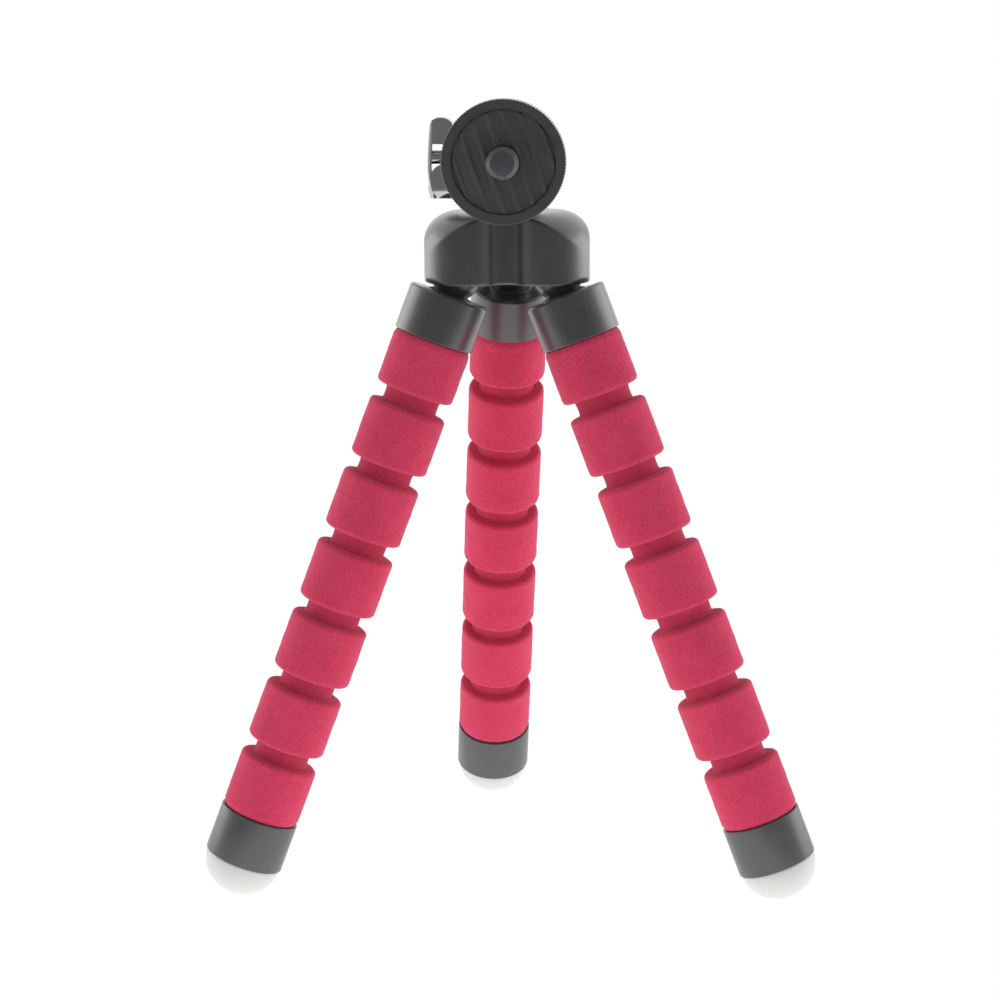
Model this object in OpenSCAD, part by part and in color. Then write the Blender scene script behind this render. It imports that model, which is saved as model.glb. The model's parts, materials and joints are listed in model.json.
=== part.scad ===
// Flexible leg tripod: three bendable foam legs on a trefoil hub with a small ball head.
// Millimetres, +Z up, feet on z = 0. The front is -Y, where the camera platform faces at rest.
// The origin is the middle of the footprint box, on the floor.

/* [Legs] */
// Lean of each leg from upright, degrees
splay = 21; // [19:0.5:22]
// Heading of each front leg, degrees from straight ahead
front_turn = 78; // [70:1:82]
// Heading of the back leg, degrees off straight back
back_turn = 9; // [0:1:10]
// Outside diameter of the foam
foam_d = 16; // [15:0.25:16.5]
// Distance from one groove to the next
foam_pitch = 15.5; // [15:0.25:16.5]
// Width of a groove
groove_w = 3.4; // [3.2:0.1:3.8]
// Diameter of the foam at the bottom of a groove
neck_d = 11.2; // [10.4:0.2:11.6]
// Length of foam that shows above the first groove
first_len = 11.4; // [11:0.2:12.6]
// Rounding of the rims of a foam segment
rim_round = 0.8; // [0.4:0.1:1.2]
// Diameter of the bendable aluminium core
core_d = 3; // [2.6:0.2:3.4]

/* [Collars and feet] */
// Diameter of the collar at the top of a leg
collar_d = 16.4; // [16:0.1:16.8]
// Height of that collar
collar_h = 9.5; // [9:0.25:10]
// Bevel on the collar's top edge
collar_bevel = 0.4; // [0.2:0.1:0.8]
// Diameter of the collar that holds the foot
foot_collar_d = 16.2; // [15.8:0.1:16.6]
// Height of the foot's collar
foot_collar_h = 10.1; // [9.6:0.25:10.6]
// Diameter of the round foot
foot_d = 15; // [14.4:0.2:15.4]
// Diameter of the ball that joins a leg to the hub
leg_ball_d = 10; // [9.8:0.1:10.1]

/* [Hub] */
// Diameter of each lobe in plan
lobe_d = 16; // [15.6:0.1:16.4]
// Distance of a lobe's centre from the hub's axis
lobe_reach = 10; // [9.8:0.1:10.4]
// Height of the hub
hub_h = 14.2; // [13.8:0.2:14.8]
// Rounding of the hub's top
hub_round = 8; // [7:0.25:8.5]
// Rounding of the three hollows between the lobes
valley_round = 4; // [3:0.25:4.5]

/* [Ball head] */
// Height of the head's ball above the top of the hub
ball_up = 10.7; // [10.4:0.1:11.4]
// Diameter of the head's ball
ball_d = 14; // [13.4:0.2:14.4]
// Diameter of the ball's housing
housing_d = 18.8; // [18.4:0.2:19.2]
// Diameter of the housing's neck, which goes down into the hub
housing_neck_d = 11.2; // [10.6:0.2:11.6]
// Diameter of the stem between ball and platform
stem_d = 6; // [5.6:0.2:6.2]
// Distance from the ball's centre to the back of the platform
platform_off = 12.5; // [12.2:0.1:13.5]
// Diameter of the platform
platform_d = 24.6; // [24:0.2:25]
// Thickness of the platform
platform_t = 5.1; // [5:0.1:5.6]
// Diameter of the sunk pad
pad_d = 21.2; // [20.4:0.2:21.4]
// Number of ribs on the pad
pad_ribs = 7; // [6:1:9]
// Slant of the ribs, degrees
rib_slant = 19; // [10:1:25]
// Length of the camera screw beyond the platform
screw_out = 4.8; // [4.5:0.1:5.5]

/* [Lock knob] */
// Height of the knob
knob_h = 16.2; // [15.8:0.1:16.4]
// Depth of the knob, front to back
knob_t = 5.2; // [4.6:0.2:6]
// Distance from the ball's centre to the outer face of the knob
knob_out = 16.3; // [16.2:0.1:17]
// Length of the knob's two ears
knob_ears = 5.4; // [5:0.1:5.4]
// Bow of the knob's outer face
knob_bow = 0.75; // [0.4:0.05:1]
// Diameter of the knob's shank
shank_d = 2.8; // [2.4:0.1:3]

/* [Hidden] */
$fn = 64;
// Plain fit between parts that stay together or turn slowly
fit = 0.1;
// Room between foam neck and foam socket, and between the ends of two core links
joint_gap = 0.3;
// Bend of one groove to either side, degrees
bend = 18;
// Spare swing for the core inside a neck, degrees
swing_room = 1;
// Lean of a leg past its rest, degrees, and its clearance under the hub there
lean_more = 4;
lean_gap = 0.15;
// Foam segments on a leg
segments = 7;
// A quarter-inch camera screw, by the standard
screw_d = 6.35;
// Overlap of joined shapes, and of cuts past the face that they open
over = 1;
// Length of a cut that runs out of the piece
through = 30;

LEFT = 0;
RIGHT = 1;
BACK = 2;
leg_turn = [-front_turn, front_turn, 180 + back_turn];
lobe_turn = [-60, 60, 180];

foam_r = foam_d / 2;
neck_r = neck_d / 2;
socket_r = neck_r + joint_gap;
core_r = core_d / 2;
collar_r = collar_d / 2;
foot_collar_r = foot_collar_d / 2;
foot_r = foot_d / 2;
leg_ball_r = leg_ball_d / 2;
leg_stem_r = 3.4;

// Distances down a leg, from the centre of its ball
collar_s = 4.1;
collar_neck_r = 4.6;
foam_s = collar_s + collar_h;
groove_s = foam_s + first_len + groove_w / 2;
foam_end_s = groove_s + (segments - 1) * foam_pitch - groove_w / 2;
foot_s = foam_end_s + foot_collar_h;
function hinge_s(k) = groove_s + (k - 1) * foam_pitch;
function seg_top(k) = k == 1 ? foam_s : hinge_s(k - 1) + groove_w / 2;
function seg_end(k) = k == segments ? foam_end_s : hinge_s(k) - groove_w / 2;

// Reduced ends of the foam inside the collars
spigot_r = 6;
top_spigot = 6;
end_spigot = 3.6;
plug_r = 5.6;
plug_h = 3.8;
foot_bevel = 0.4;

// The legs' balls sit in the hub a little above its underside
ball_in = 1.5;
socket_out = 1.7;
ball_reach = lobe_reach + socket_out;
leg_ball_z = foot_r + foot_s * cos(splay);
hub_z = leg_ball_z - ball_in;
hub_top = hub_z + hub_h;
lobe_r = lobe_d / 2;
hub_r = lobe_reach + lobe_r;
hub_bevel = 1;
// Distance down a leg at which radius r still clears the hub's underside
function clear_s(r) = (ball_in + lean_gap + r * sin(splay + lean_more)) / cos(splay + lean_more);
// Each hollow is an arc that touches the two lobes beside it
valley_d = lobe_reach * cos(60) + sqrt(pow(lobe_r + valley_round, 2) - pow(lobe_reach * sin(60), 2));

ball_z = hub_top + ball_up;
ball_r = ball_d / 2;
housing_r = housing_d / 2;
housing_neck_r = housing_neck_d / 2;
housing_sink = 6;
seat_z = hub_top - housing_sink;
housing_round = 1.6;
mouth_h = 4.2;
mouth_flare = 1.3;
// Radius of the ball's cavity where the flared mouth begins
mouth_r = sqrt(pow(ball_r + fit, 2) - pow(mouth_h - mouth_flare, 2));
stem_r = stem_d / 2;
slot_room = 0.4;
platform_r = platform_d / 2;
platform_edge = 0.3;
pad_r = pad_d / 2;
pad_t = 0.8;
rib_h = 0.4;
rib_w = 0.9;
rim_h = 0.2;
flange_r = 4.8;
flange_t = 1.2;
floor_t = 1.5;
screw_tip = 0.8;
screw_relief = 0.4;
pad_hole = 0.5;
shank_r = shank_d / 2;
boss_r = 3.6;
boss_out = 1.2;
boss_x = housing_r + boss_out;
knob_drop = 0.1;
knob_strap = 1.1;
knob_arch = 1;
window_up = 1.25;
window_down = 1.35;
shank_gap = 0.15;
hub_screw_r = 2;
hub_screw_head_r = 3.5;
hub_screw_head_h = 2.4;
hub_screw_sink = 0.2;
hub_screw_in = 5;

// Middle of the footprint box
function heading(a) = [sin(a), -cos(a)];
function leg_dir(i) = [
    heading(leg_turn[i])[0] * sin(splay),
    heading(leg_turn[i])[1] * sin(splay),
    -cos(splay)
];
function ball_at(i) = [
    heading(lobe_turn[i])[0] * ball_reach,
    heading(lobe_turn[i])[1] * ball_reach,
    leg_ball_z
];
function foot_at(i) = ball_at(i) + foot_s * leg_dir(i);
function collar_side(i) = foot_collar_r * sqrt(1 - pow(leg_dir(i)[1], 2));
front_y = min(
    foot_at(LEFT)[1] - max(foot_r, collar_side(LEFT)),
    -platform_off - platform_t - screw_out
);
back_y = foot_at(BACK)[1] + max(foot_r, collar_side(BACK) - foot_bevel * leg_dir(BACK)[1]);
hub_y = -(front_y + back_y) / 2;

RED = [0.75, 0.21, 0.34];
BLACK = [0.13, 0.13, 0.14];
GREY = [0.33, 0.33, 0.35];
MILK = [0.88, 0.87, 0.86];
CHROME = [0.72, 0.72, 0.74];
STEEL = [0.6, 0.6, 0.62];
RUBBER = [0.2, 0.2, 0.21];

// Leg i's own frame: its ball at the origin, the leg running down its own -Z
module on_leg(i) {
    translate([0, hub_y, 0])
        translate(ball_at(i))
            rotate([0, 0, leg_turn[i]])
                rotate([-splay, 0, 0])
                    children();
}

// Half outline of a disc of radius r between two distances down the leg
module band(r, from, to) {
    translate([0, -to])
        square([r, to - from]);
}

// The same with both outer corners rounded
module soft_band(r, from, to, q) {
    union() {
        band(r - q, from, to);
        band(r, from + q, to - q);
        translate([r - q, -from - q])
            circle(q);
        translate([r - q, -to + q])
            circle(q);
    }
}

// Right-hand half of the plane, so that an outline stays on one side of its axis
module right_half() {
    translate([0, -400])
        square([60, 800]);
}

// One foam segment: a ball-shaped neck below, a socket for its neighbour's neck above.
// Neck and socket share the bending centre in the groove, so that the groove stays closed.
module foam_segment(k) {
    color(RED)
        rotate_extrude()
            intersection() {
                right_half();
                difference() {
                    union() {
                        soft_band(foam_r, seg_top(k), seg_end(k), rim_round);
                        if (k == 1)
                            band(spigot_r, foam_s - top_spigot, foam_s + over);
                        if (k == segments)
                            band(spigot_r, foam_end_s - over, foam_end_s + end_spigot);
                        if (k < segments)
                            translate([0, -hinge_s(k)])
                                circle(neck_r);
                    }
                    if (k > 1)
                        translate([0, -hinge_s(k - 1)])
                            circle(socket_r);
                    band(core_r + fit, foam_s - top_spigot - over, foot_s);
                    if (k < segments)
                        core_room(k);
                }
            }
}

// Flared way through a neck, where the next core link swings
module core_room(k) {
    wide = core_r / cos(bend) + joint_gap;
    deep = neck_r + over;
    translate([0, -hinge_s(k)])
        polygon([
            [0, 0],
            [wide, 0],
            [wide + deep * tan(bend + swing_room), -deep],
            [0, -deep]
        ]);
}

// One link of the core: a round end below, a cup round its neighbour's end above
module core_link(k) {
    top = k == 1 ? foam_s - top_spigot + fit : hinge_s(k - 1);
    end = k == segments ? foam_end_s + end_spigot - fit : hinge_s(k);
    color(CHROME)
        rotate_extrude()
            intersection() {
                right_half();
                difference() {
                    union() {
                        band(core_r, top, end);
                        if (k < segments)
                            translate([0, -end])
                                circle(core_r);
                    }
                    if (k > 1)
                        translate([0, -top])
                            circle(core_r + joint_gap);
                }
            }
}

// Moulded collar at the top of a leg, with the ball that snaps into the hub
module leg_collar() {
    color(BLACK)
        union() {
            sphere(leg_ball_r);
            rotate_extrude()
                difference() {
                    polygon([
                        [0, -leg_ball_r / 2],
                        [leg_stem_r, -leg_ball_r / 2],
                        [leg_stem_r, -clear_s(leg_stem_r)],
                        [collar_neck_r, -clear_s(collar_neck_r)],
                        [collar_neck_r, -collar_s],
                        [collar_r - collar_bevel, -collar_s],
                        [collar_r, -collar_s - collar_bevel],
                        [collar_r, -foam_s],
                        [0, -foam_s]
                    ]);
                    band(spigot_r + fit, foam_s - top_spigot - fit, foam_s + over);
                }
        }
}

// Collar that joins the foam to the round foot
module foot_collar() {
    color(GREY)
        rotate_extrude()
            difference() {
                polygon([
                    [0, -foam_end_s],
                    [foot_collar_r, -foam_end_s],
                    [foot_collar_r, -foot_s + foot_bevel],
                    [foot_collar_r - foot_bevel, -foot_s],
                    [0, -foot_s]
                ]);
                band(spigot_r + fit, foam_end_s - over, foam_end_s + end_spigot + fit);
                band(plug_r + fit, foot_s - plug_h - fit, foot_s + over);
            }
}

// Round foot, plugged into its collar
module foot_tip() {
    color(MILK)
        rotate_extrude()
            union() {
                intersection() {
                    right_half();
                    translate([0, -foot_s])
                        circle(foot_r);
                    band(foot_r + over, foot_s, foot_s + foot_r + over);
                }
                band(plug_r, foot_s - plug_h, foot_s + over);
            }
}

// Plan of the hub: three lobes with a hollow between each two
module trefoil() {
    difference() {
        union() {
            for (a = lobe_turn)
                translate(lobe_reach * heading(a))
                    circle(lobe_r);
            polygon([for (a = [0:60:300]) (a % 120 == 0 ? valley_d : lobe_reach) * heading(a)]);
        }
        for (a = [0, 120, 240])
            translate(valley_d * heading(a))
                circle(valley_round);
    }
}

// Moulded hub: its plan cut by a round-shouldered dome, with the legs' sockets below
// and the seat of the ball housing above
module hub() {
    color(BLACK)
        translate([0, hub_y, 0])
            difference() {
                intersection() {
                    translate([0, 0, hub_z])
                        linear_extrude(hub_h)
                            trefoil();
                    translate([0, 0, hub_z])
                        rotate_extrude()
                            hub_dome();
                }
                for (i = [LEFT, RIGHT, BACK])
                    translate(ball_at(i))
                        sphere(leg_ball_r + fit);
                translate([0, 0, seat_z])
                    cylinder(r = housing_neck_r + fit, h = housing_sink + over);
                translate([0, 0, hub_z - over])
                    cylinder(r = hub_screw_r + fit, h = hub_h);
                translate([0, 0, hub_z - over])
                    cylinder(r = hub_screw_head_r + fit, h = over + hub_screw_sink + hub_screw_head_h);
            }
}

module hub_dome() {
    union() {
        polygon([
            [0, 0],
            [hub_r - hub_bevel, 0],
            [hub_r, hub_bevel],
            [hub_r, hub_h - hub_round],
            [0, hub_h - hub_round]
        ]);
        square([hub_r - hub_round, hub_h]);
        intersection() {
            translate([hub_r - hub_round, hub_h - hub_round])
                circle(hub_round);
            translate([0, hub_h - hub_round])
                square([hub_r, hub_round]);
        }
    }
}

// Screw from below that holds the ball housing on the hub
module hub_screw() {
    color(STEEL)
        translate([0, hub_y, hub_z + hub_screw_sink])
            union() {
                cylinder(r = hub_screw_head_r, h = hub_screw_head_h);
                cylinder(r = hub_screw_r, h = seat_z - hub_z - hub_screw_sink + hub_screw_in);
            }
}

// Half outline of the ball's housing above its seat: a cup of even wall on a neck
module housing_outline() {
    ball_h = ball_z - seat_z;
    union() {
        square([housing_neck_r, ball_h]);
        intersection() {
            translate([0, ball_h])
                circle(housing_r);
            square([housing_r, ball_h]);
        }
        translate([0, ball_h])
            square([housing_r, mouth_h - housing_round]);
        translate([0, ball_h])
            square([housing_r - housing_round, mouth_h]);
        translate([housing_r - housing_round, ball_h + mouth_h - housing_round])
            circle(housing_round);
    }
}

// Housing of the head's ball, with the slot that lets the stem rise to upright and past it
module head_socket() {
    color(BLACK)
        translate([0, hub_y, 0])
            difference() {
                union() {
                    translate([0, 0, seat_z])
                        rotate_extrude()
                            housing_outline();
                    translate([-boss_x, 0, ball_z])
                        rotate([0, 90, 0])
                            cylinder(r = boss_r, h = boss_x);
                }
                translate([0, 0, ball_z])
                    sphere(ball_r + fit);
                translate([0, 0, ball_z])
                    rotate([90, 0, 0])
                        cylinder(r = stem_r + slot_room, h = through);
                translate([-stem_r - slot_room, -through, ball_z])
                    cube([2 * (stem_r + slot_room), through, through]);
                translate([0, 0, ball_z + mouth_h - mouth_flare])
                    cylinder(r1 = mouth_r, r2 = mouth_r + mouth_flare + fit, h = mouth_flare + fit);
                translate([-through, 0, ball_z])
                    rotate([0, 90, 0])
                        cylinder(r = shank_r + fit, h = through);
                translate([0, 0, seat_z - over])
                    cylinder(r = hub_screw_r + fit, h = over + hub_screw_in + fit);
            }
}

// The head's frame: ball at the origin, stem along +Z, which faces the front at rest
module on_head() {
    translate([0, hub_y, ball_z])
        rotate([90, 0, 0])
            children();
}

// Ball and stem; the flange on the stem's end holds the platform
module head_ball() {
    flange_a = platform_off + floor_t + fit;
    color(CHROME)
        on_head()
            union() {
                sphere(ball_r);
                cylinder(r = stem_r, h = flange_a + fit);
                translate([0, 0, flange_a])
                    cylinder(r = flange_r, h = flange_t);
            }
}

// Round camera platform that turns on the stem
module platform() {
    pad_a = platform_t - pad_t - rib_h - rim_h;
    edge = platform_edge;
    color(BLACK)
        on_head()
            translate([0, 0, platform_off])
                rotate_extrude()
                    difference() {
                        polygon([
                            [stem_r + fit, 0],
                            [platform_r - edge, 0],
                            [platform_r, edge],
                            [platform_r, platform_t - edge],
                            [platform_r - edge, platform_t],
                            [stem_r + fit, platform_t]
                        ]);
                        translate([0, pad_a])
                            square([pad_r + fit, platform_t]);
                        translate([0, floor_t])
                            square([flange_r + fit, platform_t]);
                    }
}

// Rubber pad sunk into the platform, with slanting ribs
module pad() {
    pad_a = platform_off + platform_t - pad_t - rib_h - rim_h;
    pitch = 2 * pad_r / pad_ribs;
    color(RUBBER)
        on_head()
            translate([0, 0, pad_a])
                union() {
                    linear_extrude(pad_t)
                        pad_ring();
                    linear_extrude(pad_t + rib_h)
                        intersection() {
                            pad_ring();
                            rotate(rib_slant)
                                for (n = [0:pad_ribs - 1])
                                    translate([(n - (pad_ribs - 1) / 2) * pitch - rib_w / 2, -pad_r])
                                        square([rib_w, 2 * pad_r]);
                        }
                }
}

module pad_ring() {
    difference() {
        circle(pad_r);
        circle(screw_d / 2 + pad_hole);
    }
}

// Quarter-inch camera screw on a flange under the pad, relieved below the platform's face
module camera_screw() {
    flange_a = platform_off + floor_t + fit + flange_t + fit;
    face_a = platform_off + platform_t;
    pad_a = face_a - pad_t - rib_h - rim_h;
    thread = screw_out - screw_tip;
    color(STEEL)
        on_head()
            union() {
                translate([0, 0, flange_a])
                    cylinder(r = flange_r, h = pad_a - flange_a);
                translate([0, 0, flange_a])
                    cylinder(r = screw_d / 2 - screw_relief, h = face_a - flange_a + over);
                translate([0, 0, face_a])
                    cylinder(r = screw_d / 2, h = thread);
                translate([0, 0, face_a + thread])
                    cylinder(r1 = screw_d / 2, r2 = screw_d / 2 - screw_tip, h = screw_tip);
            }
}

// Side view of the lock knob: two ears on a bowed outer strap, the upper ear arched
module knob_outline() {
    low = -knob_h / 2 - knob_drop;
    ear = knob_ears - knob_bow;
    bow_r = (pow(knob_h / 2, 2) + pow(knob_bow, 2)) / (2 * knob_bow);
    arch_r = (pow(ear / 2, 2) + pow(knob_arch, 2)) / (2 * knob_arch);
    difference() {
        intersection() {
            translate([-knob_out, low])
                square([knob_ears, knob_h]);
            union() {
                translate([-knob_out, low])
                    square([knob_ears, knob_h - knob_arch]);
                translate([-knob_out + knob_bow + ear / 2, low + knob_h - arch_r])
                    circle(arch_r);
            }
            translate([-knob_out + bow_r, low + knob_h / 2])
                circle(bow_r);
        }
        translate([-knob_out + knob_strap, -shank_r - window_down])
            square([knob_ears, window_down + 2 * shank_r + window_up]);
    }
}

// Chromed lock knob on the screw that presses on the ball
module lock_knob() {
    color(CHROME)
        translate([0, hub_y, ball_z])
            union() {
                translate([0, knob_t / 2, 0])
                    rotate([90, 0, 0])
                        linear_extrude(knob_t)
                            knob_outline();
                translate([-knob_out + knob_strap / 2, 0, 0])
                    rotate([0, 90, 0])
                        cylinder(r = shank_r, h = knob_out - knob_strap / 2 - ball_r - shank_gap);
            }
}

// The left leg's pieces, from the hub down.
module left_collar() on_leg(0) leg_collar();
module left_foam_1() on_leg(0) foam_segment(1);
module left_foam_2() on_leg(0) foam_segment(2);
module left_foam_3() on_leg(0) foam_segment(3);
module left_foam_4() on_leg(0) foam_segment(4);
module left_foam_5() on_leg(0) foam_segment(5);
module left_foam_6() on_leg(0) foam_segment(6);
module left_foam_7() on_leg(0) foam_segment(7);
module left_core_1() on_leg(0) core_link(1);
module left_core_2() on_leg(0) core_link(2);
module left_core_3() on_leg(0) core_link(3);
module left_core_4() on_leg(0) core_link(4);
module left_core_5() on_leg(0) core_link(5);
module left_core_6() on_leg(0) core_link(6);
module left_core_7() on_leg(0) core_link(7);
module left_foot_collar() on_leg(0) foot_collar();
module left_foot_tip() on_leg(0) foot_tip();

// The right leg's pieces, from the hub down.
module right_collar() on_leg(1) leg_collar();
module right_foam_1() on_leg(1) foam_segment(1);
module right_foam_2() on_leg(1) foam_segment(2);
module right_foam_3() on_leg(1) foam_segment(3);
module right_foam_4() on_leg(1) foam_segment(4);
module right_foam_5() on_leg(1) foam_segment(5);
module right_foam_6() on_leg(1) foam_segment(6);
module right_foam_7() on_leg(1) foam_segment(7);
module right_core_1() on_leg(1) core_link(1);
module right_core_2() on_leg(1) core_link(2);
module right_core_3() on_leg(1) core_link(3);
module right_core_4() on_leg(1) core_link(4);
module right_core_5() on_leg(1) core_link(5);
module right_core_6() on_leg(1) core_link(6);
module right_core_7() on_leg(1) core_link(7);
module right_foot_collar() on_leg(1) foot_collar();
module right_foot_tip() on_leg(1) foot_tip();

// The back leg's pieces, from the hub down.
module back_collar() on_leg(2) leg_collar();
module back_foam_1() on_leg(2) foam_segment(1);
module back_foam_2() on_leg(2) foam_segment(2);
module back_foam_3() on_leg(2) foam_segment(3);
module back_foam_4() on_leg(2) foam_segment(4);
module back_foam_5() on_leg(2) foam_segment(5);
module back_foam_6() on_leg(2) foam_segment(6);
module back_foam_7() on_leg(2) foam_segment(7);
module back_core_1() on_leg(2) core_link(1);
module back_core_2() on_leg(2) core_link(2);
module back_core_3() on_leg(2) core_link(3);
module back_core_4() on_leg(2) core_link(4);
module back_core_5() on_leg(2) core_link(5);
module back_core_6() on_leg(2) core_link(6);
module back_core_7() on_leg(2) core_link(7);
module back_foot_collar() on_leg(2) foot_collar();
module back_foot_tip() on_leg(2) foot_tip();

hub();
hub_screw();
head_socket();
head_ball();
platform();
pad();
camera_screw();
lock_knob();
left_collar();
left_foam_1();
left_foam_2();
left_foam_3();
left_foam_4();
left_foam_5();
left_foam_6();
left_foam_7();
left_core_1();
left_core_2();
left_core_3();
left_core_4();
left_core_5();
left_core_6();
left_core_7();
left_foot_collar();
left_foot_tip();
right_collar();
right_foam_1();
right_foam_2();
right_foam_3();
right_foam_4();
right_foam_5();
right_foam_6();
right_foam_7();
right_core_1();
right_core_2();
right_core_3();
right_core_4();
right_core_5();
right_core_6();
right_core_7();
right_foot_collar();
right_foot_tip();
back_collar();
back_foam_1();
back_foam_2();
back_foam_3();
back_foam_4();
back_foam_5();
back_foam_6();
back_foam_7();
back_core_1();
back_core_2();
back_core_3();
back_core_4();
back_core_5();
back_core_6();
back_core_7();
back_foot_collar();
back_foot_tip();
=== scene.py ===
"""Flexible leg tripod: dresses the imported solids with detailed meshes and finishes.

Three bendable foam legs stand under a trefoil hub, which carries a small ball head with a
knurled camera platform and a chromed lock knob. Outlines are in millimetres.
"""

import json
import math

import bmesh
import bpy
import numpy as np
from bpy.props import FloatProperty, FloatVectorProperty, IntProperty, PointerProperty
from mathutils import Matrix, Vector, noise


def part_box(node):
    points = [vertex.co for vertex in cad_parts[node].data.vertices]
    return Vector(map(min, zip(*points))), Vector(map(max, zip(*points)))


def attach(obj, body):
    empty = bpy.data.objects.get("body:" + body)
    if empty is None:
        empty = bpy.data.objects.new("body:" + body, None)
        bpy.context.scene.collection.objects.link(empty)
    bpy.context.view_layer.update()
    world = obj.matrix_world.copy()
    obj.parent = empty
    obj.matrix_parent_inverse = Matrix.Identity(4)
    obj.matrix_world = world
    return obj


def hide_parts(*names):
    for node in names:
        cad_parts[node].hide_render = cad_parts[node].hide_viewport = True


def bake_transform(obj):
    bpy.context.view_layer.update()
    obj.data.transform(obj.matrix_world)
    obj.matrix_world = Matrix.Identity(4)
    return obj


bl_info = {
    "name": "Flexible leg tripod",
    "version": (1, 0, 0),
    "blender": (4, 5, 0),
    "location": "3D View > Sidebar > Tripod",
    "description": "Builds a small foam-legged camera tripod piece by piece",
    "category": "Object",
}

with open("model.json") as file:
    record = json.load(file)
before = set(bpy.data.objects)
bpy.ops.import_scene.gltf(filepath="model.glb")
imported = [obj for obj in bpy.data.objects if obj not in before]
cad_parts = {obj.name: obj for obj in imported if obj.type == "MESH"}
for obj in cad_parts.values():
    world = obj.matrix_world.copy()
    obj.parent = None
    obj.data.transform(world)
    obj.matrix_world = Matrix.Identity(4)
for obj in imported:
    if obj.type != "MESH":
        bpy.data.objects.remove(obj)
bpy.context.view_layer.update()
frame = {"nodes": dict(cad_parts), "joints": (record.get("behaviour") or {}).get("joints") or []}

MM = 0.001
LEGS = ("left", "right", "back")
SEGMENTS = 7
JOINTS = {joint["name"]: joint for joint in frame["joints"]}


# Places and sizes that come from the frame


def joint_point(name):
    """A joint's place, in metres."""
    return Vector(JOINTS[name]["pos_m"])


def leg_axes(leg):
    """A leg's own axes: its ball at the origin, +Z down the leg, +X along its bending axis."""
    top = joint_point(leg + "_splay")
    down = (joint_point(f"{leg}_bend_{SEGMENTS - 1}") - top).normalized()
    side = Vector(JOINTS[leg + "_splay"]["axis"]).normalized()
    turn = Matrix((side, down.cross(side), down)).transposed().to_4x4()
    return Matrix.Translation(top) @ turn


def extent(node, axes):
    """Largest radius, lowest and highest reach of a CAD node along the axes' +Z, in mm."""
    back = axes.inverted()
    points = [(back @ corner.co) / MM for corner in frame["nodes"][node].data.vertices]
    radius = max(math.hypot(point.x, point.y) for point in points)
    heights = [point.z for point in points]
    return radius, min(heights), max(heights)


HEAD_BALL = joint_point("head_tilt")
HEAD_AXES = Matrix.Translation(HEAD_BALL) @ Matrix.Rotation(math.radians(90), 4, "X")
HUB_LOW, HUB_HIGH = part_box("hub")
HUB_AXES = Matrix.Translation((HEAD_BALL.x, HEAD_BALL.y, HUB_LOW.z))
KNOB_AXES = Matrix.Translation(HEAD_BALL)
# The same place with +Z pointing at the knob
SHANK_AXES = KNOB_AXES @ Matrix.Rotation(math.radians(-90), 4, "Y")


# Outlines and meshes


def rounded(corners, closed=False, steps=5):
    """Outline through corners (x, y, fillet), with each fillet drawn as an arc."""
    points = []
    for n, (x, y, fillet) in enumerate(corners):
        here = Vector((x, y))
        if fillet <= 0 or (not closed and n in (0, len(corners) - 1)):
            points.append((x, y))
            continue
        before = (Vector(corners[n - 1][:2]) - here).normalized()
        after = (Vector(corners[(n + 1) % len(corners)][:2]) - here).normalized()
        half = before.angle(after) / 2
        centre = here + (before + after).normalized() * (fillet / math.sin(half))
        start = here + before * (fillet / math.tan(half)) - centre
        end = here + after * (fillet / math.tan(half)) - centre
        for step in range(steps + 1):
            spoke = start.lerp(end, step / steps).normalized() * fillet
            points.append(tuple(centre + spoke))
    return points


def refined(points, step, closed=False):
    """The outline with points added so that none are further apart than step."""
    full = []
    following = points[1:] + points[:1]
    for (x0, y0), (x1, y1) in zip(points, following if closed else following[:-1]):
        parts = max(1, math.ceil(math.hypot(x1 - x0, y1 - y0) / step))
        for part in range(parts):
            share = part / parts
            full.append((x0 + (x1 - x0) * share, y0 + (y1 - y0) * share))
    return full if closed else full + points[-1:]


def arc(radius, start, end, steps, centre=(0, 0)):
    """Points on a circle in an outline; the angles in degrees turn from the axis outwards."""
    points = []
    for step in range(steps + 1):
        angle = math.radians(start + (end - start) * step / steps)
        points.append((centre[0] + radius * math.sin(angle), centre[1] - radius * math.cos(angle)))
    return points


def angles_round(around):
    return np.arange(around) * 2 * math.pi / around


def turned_row(radius, height, around):
    """Points once round the axis; radius and height may have a value for each point."""
    if np.max(radius) < 1e-6:
        return np.array([[0.0, 0.0, height]])
    angle = angles_round(around)
    return np.stack(
        [radius * np.cos(angle), radius * np.sin(angle), np.full(around, height)], axis=1
    )


def skin(name, rows, axes, loop=False, sharp=38):
    """Closed mesh over rows of points that each run once round; a row of one point is a pole."""
    starts = np.cumsum([0] + [len(row) for row in rows])
    pairs = list(zip(range(len(rows) - 1), range(1, len(rows))))
    if loop:
        pairs.append((len(rows) - 1, 0))
    faces = []
    for a, b in pairs:
        count_a, count_b = len(rows[a]), len(rows[b])
        around = max(count_a, count_b)
        for i in range(around):
            j = (i + 1) % around
            corners = (
                starts[a] + i % count_a,
                starts[a] + j % count_a,
                starts[b] + j % count_b,
                starts[b] + i % count_b,
            )
            faces.append([int(c) for c in dict.fromkeys(corners)])
    return solid(name, np.concatenate(rows), faces, axes, sharp)


def solid(name, points, faces, axes, sharp=38):
    """Object from points in millimetres, with its faces turned outwards."""
    turn = np.array(axes)
    placed = np.asarray(points, float) * MM @ turn[:3, :3].T + turn[:3, 3]
    mesh = bpy.data.meshes.new(name)
    mesh.from_pydata(placed.tolist(), [], faces)
    piece = bpy.data.objects.new(name, mesh)
    bpy.context.scene.collection.objects.link(piece)
    tidy_faces(piece, sharp)
    return piece


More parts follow.
